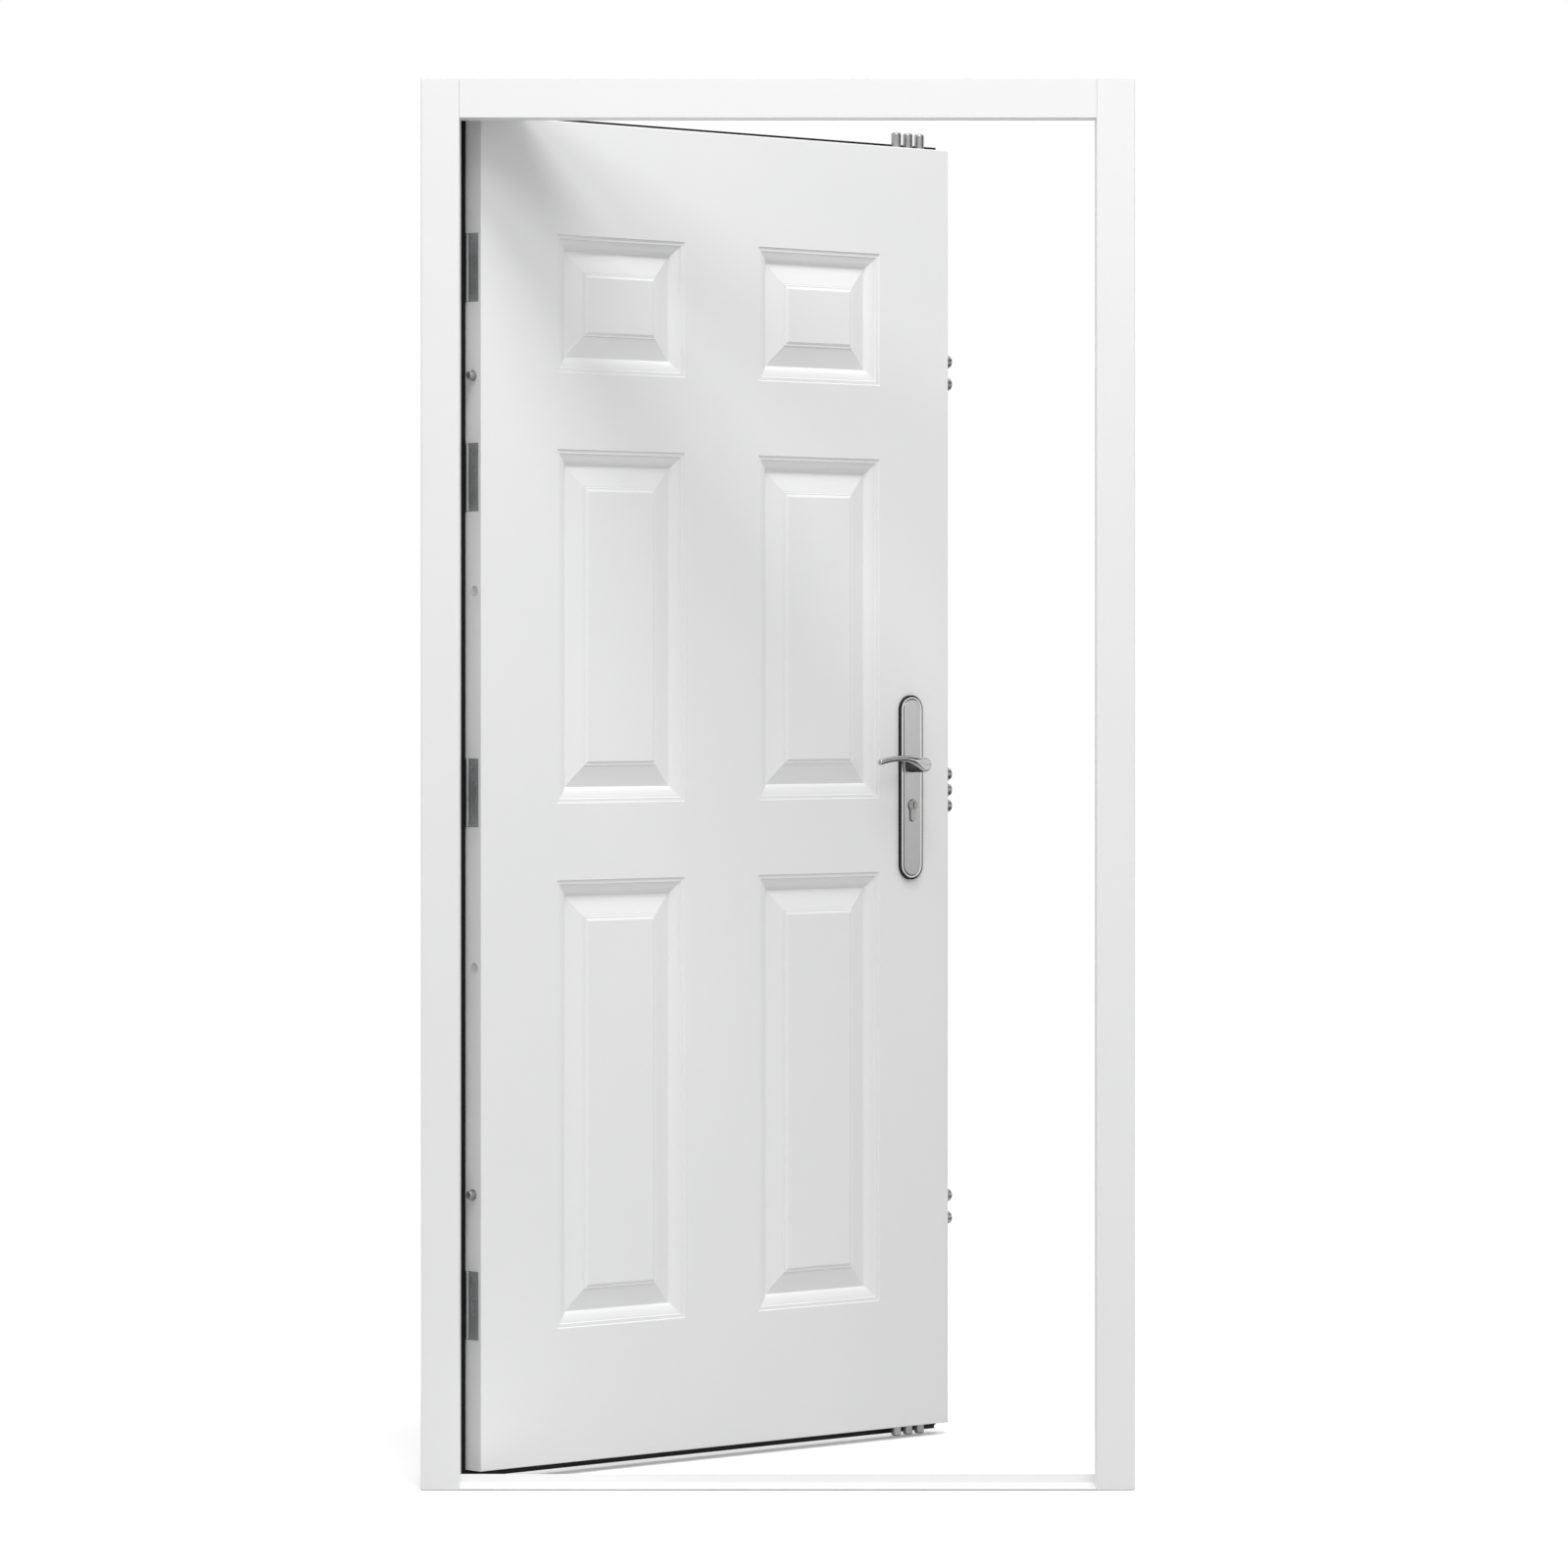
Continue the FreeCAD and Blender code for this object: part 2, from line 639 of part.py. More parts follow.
# Holes through a skin for the lever spindle and the lock cylinder
def make_handle_cuts(name):
    spindle_cut = make_bar(name + "_spindle_cut", "sizes.lever_hub_radius",
                           "sizes.leaf_thickness", "places.handle_x", "0",
                           "sizes.spindle_height", AXIS_Y)
    cylinder_cut = make_box(
        name + "_cylinder_cut",
        "places.handle_x - sizes.cylinder_head_radius - sizes.lock_cutout_margin", "0",
        "places.cylinder_tail_low - sizes.lock_cutout_margin",
        "2 * (sizes.cylinder_head_radius + sizes.lock_cutout_margin)",
        "sizes.leaf_thickness",
        "sizes.cylinder_total_height + 2 * sizes.lock_cutout_margin")
    return join(name + "_handle_cuts", [spindle_cut, cylinder_cut])


# Seats in the skins' edges for the hinge plates and the faceplates
seat_cuts = []
for name, height in hinge_heights.items():
    seat_cuts.append(make_box(
        name + "_hinge_cut", "-sizes.hinge_plate",
        "sizes.hinge_plate_front - sizes.seat_clearance",
        height + " - sizes.hinge_height / 2 - sizes.seat_clearance",
        "2 * sizes.hinge_plate + sizes.seat_clearance",
        "sizes.leaf_thickness", "sizes.hinge_height + 2 * sizes.seat_clearance"))


# The length of a lock's faceplate, from its lowest bolt to its highest and a margin beyond
def faceplate_span(heights):
    low = heights[-1] + " - sizes.faceplate_margin"
    return low, heights[0] + " - (" + heights[-1] + ") + 2 * sizes.faceplate_margin"


for name, heights in side_bolt_heights.items():
    low, span = faceplate_span(heights)
    seat_cuts.append(make_box(
        name + "_faceplate_cut",
        "places.leaf_width - sizes.faceplate_thickness - sizes.seat_clearance",
        "sizes.bolt_depth - sizes.faceplate_width / 2 - sizes.seat_clearance",
        low + " - sizes.seat_clearance", "2 * sizes.faceplate_thickness",
        "sizes.faceplate_width + 2 * sizes.seat_clearance",
        span + " + 2 * sizes.seat_clearance"))

# Holes in the outer skin's edges for the dog bolts, the plugs and the end bolts
edge_holes = []
for i, height in enumerate(dog_bolt_heights):
    edge_holes.append(make_bar(
        "dog_bolt_cut_" + str(i), "sizes.dog_bolt_radius + sizes.bolt_clearance",
        "2 * sizes.dog_bolt_root", "-sizes.dog_bolt_root", "sizes.dog_bolt_depth", height,
        AXIS_X))
plug_heights = ["sizes.low_plug_height", "places.high_plug_height"]
for i, height in enumerate(plug_heights):
    edge_holes.append(make_bar(
        "plug_cut_" + str(i), "sizes.plug_radius + sizes.seat_clearance", "2 * sizes.plug_root",
        "-sizes.plug_root", "sizes.plug_depth", height, AXIS_X))
for i, x in enumerate(end_bolt_places):
    for label, z in (("top", "places.leaf_top"), ("bottom", "sizes.leaf_underside")):
        edge_holes.append(make_bar(
            label + "_bolt_cut_" + str(i), "sizes.end_bolt_radius + sizes.bolt_clearance",
            "4 * sizes.leaf_sheet", x, "sizes.bolt_depth", z + " - 2 * sizes.leaf_sheet",
            AXIS_Z))
outer_shell = cut("outer_shell", outer_form, [outer_hollow])
outer_skin = cut("outer_skin_cut", outer_shell,
                 seat_cuts + edge_holes + [make_handle_cuts("outer")])
hang(outer_skin)
finish(outer_skin, "outer_skin")


# The inner skin is a pan of the same pressing that slides into the outer one from the back
pan_edge = "sizes.leaf_sheet + sizes.seat_clearance"
inner_form = make_pressed_form("inner_form", pan_edge, "0", "sizes.pan_depth")
inner_hollow = make_pressed_form("inner_hollow", pan_edge + " + sizes.leaf_sheet",
                                 "sizes.leaf_sheet", "sizes.pan_depth")
for thing, step in ((inner_form, ""), (inner_hollow, " - sizes.leaf_sheet")):
    put(thing, "places.leaf_width", "sizes.leaf_thickness" + step, "0")
    bind(thing, "Placement.Rotation.Angle", "180")
inner_shell = cut("inner_shell", inner_form, [inner_hollow])
inner_skin = cut("inner_skin_cut", inner_shell, seat_cuts + [make_handle_cuts("inner")])
hang(inner_skin)
finish(inner_skin, "inner_skin")

core = make_box(
    "core_slab", "sizes.core_edge_gap", "sizes.valley_depth + sizes.leaf_sheet",
    "sizes.leaf_underside + sizes.core_edge_gap",
    "places.leaf_width - sizes.core_edge_gap - sizes.lock_stile_core_gap",
    "sizes.leaf_thickness - 2 * (sizes.valley_depth + sizes.leaf_sheet)",
    "places.leaf_height - 2 * sizes.core_edge_gap")
core_node = group("core_group", [core])
hang(core_node)
finish(core_node, "core")

# The seal round the leaf's edges, four strips
reach = "sizes.seal_reach"
seal_strips = {
    "seal_top": ("-" + reach, "places.leaf_top", "places.leaf_width + 2 * " + reach, reach),
    "seal_bottom": ("-" + reach, "sizes.leaf_underside - " + reach,
                    "places.leaf_width + 2 * " + reach, reach),
    "seal_hinge_side": ("-" + reach, "sizes.leaf_underside", reach, "places.leaf_height"),
    "seal_lock_side": ("places.leaf_width", "sizes.leaf_underside", reach,
                       "places.leaf_height")}
for node, (x, z, length, height) in seal_strips.items():
    strip = group(node + "_group", [make_box(
        node + "_strip", x, "sizes.seal_front", z, length, "sizes.seal_thickness", height)])
    hang(strip)
    finish(strip, node)

bottom_strip = group("bottom_strip_group", [make_box(
    "bottom_strip_bar", "-" + reach, "sizes.seal_front + sizes.seal_thickness",
    "sizes.leaf_underside - sizes.strip_reach", "places.leaf_width + 2 * " + reach,
    "sizes.strip_thickness", "sizes.strip_reach + " + pan_edge)])
hang(bottom_strip)
finish(bottom_strip, "bottom_strip")


# A bar with a coned end, running from its root for the given length
def make_coned_bar(name, radius, length, cone, x, y, z, direction):
    shaft = make_bar(name + "_shaft", radius, length + " - " + cone, x, y, z, direction)
    tip = doc.addObject("Part::Cone", name + "_tip")
    bind(tip, "Radius1", radius)
    bind(tip, "Radius2", radius + " - " + cone)
    bind(tip, "Height", cone)
    tip.Placement = FreeCAD.Placement(ORIGIN, FreeCAD.Rotation(AXIS_Z, direction))
    run = " + (" + length + " - " + cone + ") * "
    put(tip, x + run + str(direction.x), y + run + str(direction.y),
        z + run + str(direction.z))
    return join(name, [shaft, tip])


dog_bolts = []
for i, height in enumerate(dog_bolt_heights):
    bolt = make_coned_bar(
        "dog_bolt_" + str(i), "sizes.dog_bolt_radius",
        "sizes.dog_bolt_root + sizes.dog_bolt_reach", "sizes.dog_bolt_tip",
        "sizes.dog_bolt_root", "sizes.dog_bolt_depth", height, -AXIS_X)
    collar = make_bar("dog_collar_" + str(i), "sizes.dog_collar_radius",
                      "sizes.dog_collar_height", "0", "sizes.dog_bolt_depth", height, -AXIS_X)
    dog_bolts.append(join("dog_bolt_whole_" + str(i), [bolt, collar]))
dog_bolt_node = group("dog_bolt_group", dog_bolts)
hang(dog_bolt_node)
finish(dog_bolt_node, "dog_bolts")

plugs = []
for i, height in enumerate(plug_heights):
    stem = make_bar("plug_stem_" + str(i), "sizes.plug_radius", "sizes.plug_root",
                    "sizes.plug_root", "sizes.plug_depth", height, -AXIS_X)
    lip = make_bar("plug_lip_" + str(i), "sizes.plug_lip_radius", "sizes.plug_lip_height",
                   "0", "sizes.plug_depth", height, -AXIS_X)
    plugs.append(join("plug_" + str(i), [stem, lip]))
plug_node = group("plug_group", plugs)
hang(plug_node)
finish(plug_node, "hole_plugs")

# Locks: faceplates in the lock edge, and the bolts that pass through them
for name, heights in side_bolt_heights.items():
    low, span = faceplate_span(heights)
    blank = make_box(
        name + "_faceplate_blank", "places.leaf_width - sizes.faceplate_thickness",
        "sizes.bolt_depth - sizes.faceplate_width / 2", low, "sizes.faceplate_thickness",
        "sizes.faceplate_width", span)
    bores = []
    bolts = []
    for i, height in enumerate(heights):
        label = name + "_side_bolt_" + str(i)
        bores.append(make_bar(
            label + "_bore", "sizes.side_bolt_radius + sizes.bolt_clearance",
            "3 * sizes.faceplate_thickness",
            "places.leaf_width - 2 * sizes.faceplate_thickness", "sizes.bolt_depth", height,
            AXIS_X))
        bolts.append(make_coned_bar(
            label, "sizes.side_bolt_radius", "sizes.side_bolt_length",
            "sizes.bolt_end_round",
            "places.leaf_width + sizes.side_bolt_throw - sizes.side_bolt_length",
            "sizes.bolt_depth", height, AXIS_X))
    faceplate = cut(name + "_faceplate_cut_out", blank, bores)
    hang(faceplate)
    finish(faceplate, name + "_lock_faceplate")
    bolt_node = group(name + "_side_bolt_group", bolts)
    hang(bolt_node)
    finish(bolt_node, name + "_side_bolts")

for label, z, length, direction in (
        ("top", "places.leaf_top + sizes.top_bolt_throw - sizes.top_bolt_length",
         "sizes.top_bolt_length", AXIS_Z),
        ("bottom", "sizes.leaf_underside - sizes.bottom_bolt_throw + sizes.bottom_bolt_length",
         "sizes.bottom_bolt_length", -AXIS_Z)):
    bolts = []
    for i, x in enumerate(end_bolt_places):
        bolts.append(make_coned_bar(
            label + "_bolt_" + str(i), "sizes.end_bolt_radius", length,
            "sizes.bolt_end_round", x, "sizes.bolt_depth", z, direction))
    bolt_node = group(label + "_bolt_group", bolts)
    hang(bolt_node)
    finish(bolt_node, label + "_bolts")


# Handle set: an oval plate with a raised field, standing out from the outer face
def make_oval(name, inset, height):
    half = "(sizes.plate_width / 2 - " + inset + ")"
    low = "places.plate_bottom + sizes.plate_width / 2"
    high = "places.plate_top - sizes.plate_width / 2"
    middle = make_box(name + "_middle", "places.handle_x - " + half, "-" + height, low,
                      "2 * " + half, height, high + " - (" + low + ")")
    ends = [make_bar(name + "_low_end", half, height, "places.handle_x", "0", low, -AXIS_Y),
            make_bar(name + "_high_end", half, height, "places.handle_x", "0", high, -AXIS_Y)]
    return join(name, [middle] + ends)


# A bar of the cylinder's keyhole-shaped section, enlarged all round by a clearance
def make_cylinder_form(name, front, length, clearance):
    round_part = make_bar(name + "_round", "sizes.cylinder_head_radius + " + clearance, length,
                          "places.handle_x", front, "places.cylinder_height", AXIS_Y)
    tail_half = "(sizes.cylinder_tail_width / 2 + " + clearance + ")"
    tail_low = "places.cylinder_tail_low + sizes.cylinder_tail_width / 2"
    tail = make_box(name + "_tail", "places.handle_x - " + tail_half, front, tail_low,
                    "2 * " + tail_half, length, "places.cylinder_height - (" + tail_low + ")")
    tail_end = make_bar(name + "_tail_end", tail_half, length, "places.handle_x", front,
                        tail_low, AXIS_Y)
    return join(name, [round_part, tail, tail_end])


def mirror_inside(name, source):
    made = doc.addObject("Part::Mirroring", name)
    made.Source = source
    made.Normal = AXIS_Y
    bind(made, "Base.y", "sizes.leaf_thickness / 2")
    return made


def make_backplate(name):
    rim = make_oval(name + "_rim", "0", "sizes.plate_rim_height")
    field = make_oval(name + "_field", "sizes.plate_field_inset", "sizes.plate_height")
    spindle_bore = make_bar(name + "_bore", "sizes.spindle_hole_radius",
                            "3 * sizes.plate_height", "places.handle_x",
                            "-2 * sizes.plate_height", "sizes.spindle_height", AXIS_Y)
    cylinder_hole = make_cylinder_form(
        name + "_cylinder_hole", "-2 * sizes.plate_height", "3 * sizes.plate_height",
        "sizes.cylinder_clearance")
    return cut(name, join(name + "_blank", [rim, field]), [spindle_bore, cylinder_hole])


outside_plate = make_backplate("outside_plate")
inside_plate = mirror_inside("inside_plate_mirrored", make_backplate("inside_plate"))
for thing, node in ((outside_plate, "outside_backplate"), (inside_plate, "inside_backplate")):
    hang(thing)
    finish(thing, node)

cylinder_proud = "(sizes.plate_height + sizes.cylinder_proud)"
cylinder_bar = make_cylinder_form("cylinder_bar", "-" + cylinder_proud,
                                  "sizes.leaf_thickness + 2 * " + cylinder_proud, "0")
keyways = []
for label, y in (("outside", "-" + cylinder_proud + " - sizes.keyway_depth"),
                 ("inside", "sizes.leaf_thickness + " + cylinder_proud
                  + " - sizes.keyway_depth")):
    keyways.append(make_box(
        label + "_keyway", "places.handle_x - sizes.keyway_width / 2", y,
        "places.cylinder_height - sizes.keyway_height / 2", "sizes.keyway_width",
        "2 * sizes.keyway_depth", "sizes.keyway_height"))
lock_cylinder = cut("cylinder_cut_out", cylinder_bar, keyways)
hang(lock_cylinder)
finish(lock_cylinder, "lock_cylinder")


# Adds an arc that starts and ends on the given lines' ends and bulges to its left or right
def add_arc(sketch, start, end, radius, bulges_left, lines):
    chord = end - start
    reach = worth(radius)
    rise = reach - (reach ** 2 - (chord.Length / 2) ** 2) ** 0.5
    side = FreeCAD.Vector(-chord.y, chord.x, 0).normalize()
    middle = (start + end) * 0.5 + side * (rise if bulges_left else -rise)
    arc = sketch.addGeometry(Part.Arc(start, middle, end), False)
    for line in lines:
        for arc_end in (1, 2):
            for line_end in (1, 2):
                gap = sketch.getPoint(arc, arc_end) - sketch.getPoint(line, line_end)
                if gap.Length < 0.001:
                    sketch.addConstraint(
                        Sketcher.Constraint("Coincident", arc, arc_end, line, line_end))
    add_measure(sketch, "Radius", arc, radius)


# The lever's arm: its side view, with a crowned top and a hollow underside, then padded
def make_lever_arm(name):
    body = new_body(name + "_arm")
    put(body, "places.handle_x", "0", "sizes.spindle_height")
    view = new_sketch(body, name + "_view", "XZ_Plane", "sizes.lever_front")
    corners = [
        ("0", "sizes.lever_hub_radius - sizes.lever_root_inset"),
        ("-sizes.lever_length", "sizes.lever_tip_rise + sizes.lever_tip_height / 2"),
        ("sizes.lever_tip_slant - sizes.lever_length",
         "sizes.lever_tip_rise - sizes.lever_tip_height / 2"),
        ("-sizes.lever_root_reach", "-sizes.lever_root_drop")]
    points = [corner_point(corner) for corner in corners]
    end_line = view.addGeometry(Part.LineSegment(points[1], points[2]), False)
    root_line = view.addGeometry(Part.LineSegment(points[3], points[0]), False)
    lines = (end_line, root_line)
    add_arc(view, points[0], points[1], "sizes.lever_top_radius", False, lines)
    add_arc(view, points[2], points[3], "sizes.lever_under_radius", True, lines)
    fix_point(view, end_line, 1, corners[1])
    fix_point(view, end_line, 2, corners[2])
    fix_point(view, root_line, 1, corners[3])
    fix_point(view, root_line, 2, corners[0])
    arm = pad(body, view, name + "_arm_pad", "sizes.lever_depth", True)
    doc.recompute()
    long_edges = []
    for i, edge in enumerate(arm.Shape.Edges):
        if edge.BoundBox.YLength < 0.001:
            long_edges.append("Edge" + str(i + 1))
    rounding = body.newObject("PartDesign::Fillet", name + "_arm_rounding")
    rounding.Base = (arm, long_edges)
    bind(rounding, "Radius", "sizes.lever_edge_round")
    return body


def make_lever(name):
    hub = make_coned_bar(
        name + "_hub", "sizes.lever_hub_radius",
        "sizes.lever_front - sizes.plate_height - sizes.lever_gap", "sizes.lever_hub_round",
        "places.handle_x", "-(sizes.plate_height + sizes.lever_gap)", "sizes.spindle_height",
        -AXIS_Y)
    return join(name, [hub, make_lever_arm(name)])


outside_lever = make_lever("outside_lever_form")
inside_lever = mirror_inside("inside_lever_mirrored", make_lever("inside_lever_form"))
spindle_front = "(sizes.plate_height + sizes.lever_gap)"
spindle = group("spindle_group", [make_box(
    "spindle_bar", "places.handle_x - sizes.spindle_side / 2", "-" + spindle_front,
    "sizes.spindle_height - sizes.spindle_side / 2", "sizes.spindle_side",
    "sizes.leaf_thickness + 2 * " + spindle_front, "sizes.spindle_side")])
for thing, node in ((outside_lever, "outside_lever"), (inside_lever, "inside_lever"),
                    (spindle, "lever_spindle")):
    hang(thing)
    finish(thing, node)

doc.recompute()
os.makedirs("parts", exist_ok=True)
for thing in doc.Objects:
    for state in ("Invalid", "Error"):
        if state in thing.State:
            raise RuntimeError(thing.Name + " did not build")
for thing in subparts:
    if thing.Shape.isNull() or not thing.Shape.isValid():
        raise RuntimeError(thing.Label + " has no valid shape")
    thing.Shape.exportStep("parts/" + thing.Label + ".step")
    print(thing.Label, len(thing.Shape.Solids), round(thing.Shape.Volume), thing.Shape.BoundBox)
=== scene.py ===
import bmesh
import bpy
import json
import math
from mathutils import Matrix, Vector
from mathutils.geometry import interpolate_bezier


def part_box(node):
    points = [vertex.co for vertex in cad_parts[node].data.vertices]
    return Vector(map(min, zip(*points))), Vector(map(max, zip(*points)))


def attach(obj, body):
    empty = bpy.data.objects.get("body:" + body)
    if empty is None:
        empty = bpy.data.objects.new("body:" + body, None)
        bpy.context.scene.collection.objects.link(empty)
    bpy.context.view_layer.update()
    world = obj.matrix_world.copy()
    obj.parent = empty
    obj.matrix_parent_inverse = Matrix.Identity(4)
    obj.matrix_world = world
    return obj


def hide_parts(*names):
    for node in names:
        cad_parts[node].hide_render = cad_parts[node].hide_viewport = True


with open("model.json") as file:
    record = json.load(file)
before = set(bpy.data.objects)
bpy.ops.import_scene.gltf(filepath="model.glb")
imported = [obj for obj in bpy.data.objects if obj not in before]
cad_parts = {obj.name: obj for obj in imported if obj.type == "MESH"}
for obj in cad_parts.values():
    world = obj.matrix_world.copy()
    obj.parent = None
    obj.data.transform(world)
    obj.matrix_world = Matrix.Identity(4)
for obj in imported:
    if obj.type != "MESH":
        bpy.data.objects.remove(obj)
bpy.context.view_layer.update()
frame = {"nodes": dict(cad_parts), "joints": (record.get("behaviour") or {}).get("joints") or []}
scene = bpy.context.scene
swing = next(joint for joint in frame["joints"] if joint["name"] == "leaf_swing")
pinPlace = Vector(swing["pos_m"])

# The leaf's own axes at rest: x from the hinge edge, y from the outer face inwards, z up
leafHang = {
    "openAngle": math.radians(42.08),
    "pinOutset": 0.001,      # hinge edge to pin
    "pinDepth": 0.0556,      # outer face to pin
    "thickness": 0.045,
}
leafTurn = Matrix.Rotation(leafHang["openAngle"], 4, "Z")
leafPlace = (Matrix.Translation((pinPlace.x, pinPlace.y, 0)) @ leafTurn
             @ Matrix.Translation((leafHang["pinOutset"], -leafHang["pinDepth"], 0)))


# Working helpers
def pick(*objects):
    bpy.ops.object.select_all(action="DESELECT")
    for thing in objects:
        thing.select_set(True)
    bpy.context.view_layer.objects.active = objects[0]


def openMesh(piece, elements="FACE"):
    pick(piece)
    bpy.ops.object.mode_set(mode="EDIT")
    bpy.ops.mesh.select_mode(type=elements)
    bpy.ops.mesh.select_all(action="DESELECT")


def closeMesh():
    bpy.ops.object.mode_set(mode="OBJECT")


def newest(name):
    made = bpy.context.view_layer.objects.active
    made.name = name
    return made


def chooseFaces(test):
    mesh = bmesh.from_edit_mesh(bpy.context.object.data)
    for face in mesh.faces:
        face.select = False
    for face in mesh.faces:
        if test(face.calc_center_median(), face.normal):
            face.select_set(True)
    bmesh.update_edit_mesh(bpy.context.object.data)


def chooseEdges(test):
    mesh = bmesh.from_edit_mesh(bpy.context.object.data)
    for edge in mesh.edges:
        edge.select = False
    for edge in mesh.edges:
        if test(edge.verts[0].co, edge.verts[1].co):
            edge.select_set(True)
    bmesh.update_edit_mesh(bpy.context.object.data)


def chooseVerts(test):
    mesh = bmesh.from_edit_mesh(bpy.context.object.data)
    for vert in mesh.verts:
        vert.select_set(test(vert.co))
    mesh.select_flush(True)
    bmesh.update_edit_mesh(bpy.context.object.data)


def settle(piece):
    pick(piece)
    bpy.ops.object.transform_apply(location=True, rotation=True, scale=True)


def addModifier(piece, kind, **settings):
    pick(piece)
    modifier = piece.modifiers.new(kind.lower(), kind)
    for name, value in settings.items():
        setattr(modifier, name, value)
    bpy.ops.object.modifier_apply(modifier=modifier.name)


def roundEdges(piece, width, segments=2, angle=30):
    addModifier(piece, "BEVEL", width=width, segments=segments, limit_method="ANGLE",
                angle_limit=math.radians(angle))


def carve(piece, cutter):
    addModifier(piece, "BOOLEAN", operation="DIFFERENCE", solver="EXACT", object=cutter)
    bpy.data.objects.remove(cutter)


def joinPieces(pieces):
    pick(*pieces)
    bpy.ops.object.join()
    return bpy.context.view_layer.objects.active


# Smooth shading over soft bends, where the large flat faces stay flat up to their edges
def smooth(piece, angle=30, flatFaces=True):
    pick(piece)
    bpy.ops.object.shade_smooth_by_angle(angle=math.radians(angle))
    if flatFaces:
        addModifier(piece, "WEIGHTED_NORMAL", keep_sharp=True)


# Gives a piece its body and its material unless it has its own, and hides the CAD node it replaces
def mount(piece, body, material, node):
    settle(piece)
    if material:
        piece.data.materials.clear()
        piece.data.materials.append(material)
    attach(piece, body)
    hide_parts(node)


def hang(piece):
    piece.matrix_world = leafPlace @ piece.matrix_world
    settle(piece)


def leafBox(node):
    back = leafPlace.inverted()
    corners = [back @ vert.co for vert in frame["nodes"][node].data.vertices]
    low = Vector(min(corner[i] for corner in corners) for i in range(3))
    high = Vector(max(corner[i] for corner in corners) for i in range(3))
    return low, high


def addBlock(name, low, high):
    bpy.ops.object.select_all(action="DESELECT")
    centre = (Vector(low) + Vector(high)) / 2
    bpy.ops.mesh.primitive_cube_add(size=1, location=centre)
    made = newest(name)
    made.scale = Vector(high) - Vector(low)
    settle(made)
    return made


def addRod(name, start, end, radius, sides=48):
    bpy.ops.object.select_all(action="DESELECT")
    run = Vector(end) - Vector(start)
    turn = run.to_track_quat("Z", "Y").to_euler()
    bpy.ops.mesh.primitive_cylinder_add(vertices=sides, radius=radius, depth=run.length,
                                        location=(Vector(start) + Vector(end)) / 2, rotation=turn)
    made = newest(name)
    settle(made)
    return made


# A merged copy of a CAD node's mesh, to be finished and shown in its place
def copyNode(node, name):
    mesh = frame["nodes"][node].data.copy()
    piece = bpy.data.objects.new(name, mesh)
    scene.collection.objects.link(piece)
    openMesh(piece, "VERT")
    bpy.ops.mesh.select_all(action="SELECT")
    bpy.ops.mesh.remove_doubles(threshold=0.00001)
    bpy.ops.mesh.dissolve_limited(angle_limit=math.radians(0.4))
    closeMesh()
    return piece


# The same in the leaf's own axes
def leafCopy(node, name):
    piece = copyNode(node, name)
    piece.matrix_world = leafPlace.inverted()
    settle(piece)
    return piece


def copyPiece(piece, name, place):
    made = bpy.data.objects.new(name, piece.data.copy())
    scene.collection.objects.link(made)
    made.matrix_world = place
    settle(made)
    return made


# The same piece for the inner side of the leaf
def mirrorPiece(piece, name, thickness):
    across = Matrix.Translation((0, thickness, 0)) @ Matrix.Scale(-1, 4, (0, 1, 0))
    made = copyPiece(piece, name, across)
    openMesh(made)
    bpy.ops.mesh.select_all(action="SELECT")
    bpy.ops.mesh.normals_make_consistent(inside=False)
    closeMesh()
    return made


# A thick disc whose face looks along -Y, to be raised or sunk further
def addDisc(name, centre, radius, thickness, sides=64):
    bpy.ops.object.select_all(action="DESELECT")
    bpy.ops.mesh.primitive_circle_add(vertices=sides, radius=radius, fill_type="NGON",
                                      location=centre, rotation=(math.pi / 2, math.pi / sides, 0))
    disc = newest(name)
    settle(disc)
    openMesh(disc)
    bpy.ops.mesh.select_all(action="SELECT")
    bpy.ops.mesh.extrude_region_move(TRANSFORM_OT_translate={"value": (0, -thickness, 0)})
    return disc


# Steps the chosen faces in by each inset and out by each rise
def stepFaces(steps):
    for inset, rise in steps:
        bpy.ops.mesh.inset(thickness=inset, depth=rise)


def closeShell():
    bpy.ops.mesh.select_all(action="SELECT")
    bpy.ops.mesh.normals_make_consistent(inside=False)
    closeMesh()


# Materials
def newMaterial(name, colour, roughness, metallic=0.0):
    material = bpy.data.materials.new(name)
    material.use_nodes = True
    shader = material.node_tree.nodes["Principled BSDF"]
    shader.inputs["Base Color"].default_value = (*colour, 1)
    shader.inputs["Roughness"].default_value = roughness
    shader.inputs["Metallic"].default_value = metallic
    return material, shader


def addNode(material, kind, **settings):
    node = material.node_tree.nodes.new(kind)
    for name, value in settings.items():
        if name in node.inputs.keys():
            node.inputs[name].default_value = value
        else:
            setattr(node, name, value)
    return node


# Noise on the object's coordinates, stretched by a scale for each axis
def addNoise(material, scale, stretch=(1, 1, 1), detail=2.0, turn=0.0):
    tree = material.node_tree
    coords = addNode(material, "ShaderNodeTexCoord")
    mapping = addNode(material, "ShaderNodeMapping")
    mapping.inputs["Scale"].default_value = stretch
    mapping.inputs["Rotation"].default_value = (0, 0, turn)
    noise = addNode(material, "ShaderNodeTexNoise", Scale=scale, Detail=detail)
    tree.links.new(coords.outputs["Object"], mapping.inputs["Vector"])
    tree.links.new(mapping.outputs["Vector"], noise.inputs["Vector"])
    return noise.outputs["Fac"]


def addRange(material, source, low, high):
    node = addNode(material, "ShaderNodeMapRange")
    node.inputs["To Min"].default_value = low
    node.inputs["To Max"].default_value = high
    node.inputs["From Min"].default_value = 0.3
    node.inputs["From Max"].default_value = 0.7
    material.node_tree.links.new(source, node.inputs["Value"])
    return node.outputs["Result"]


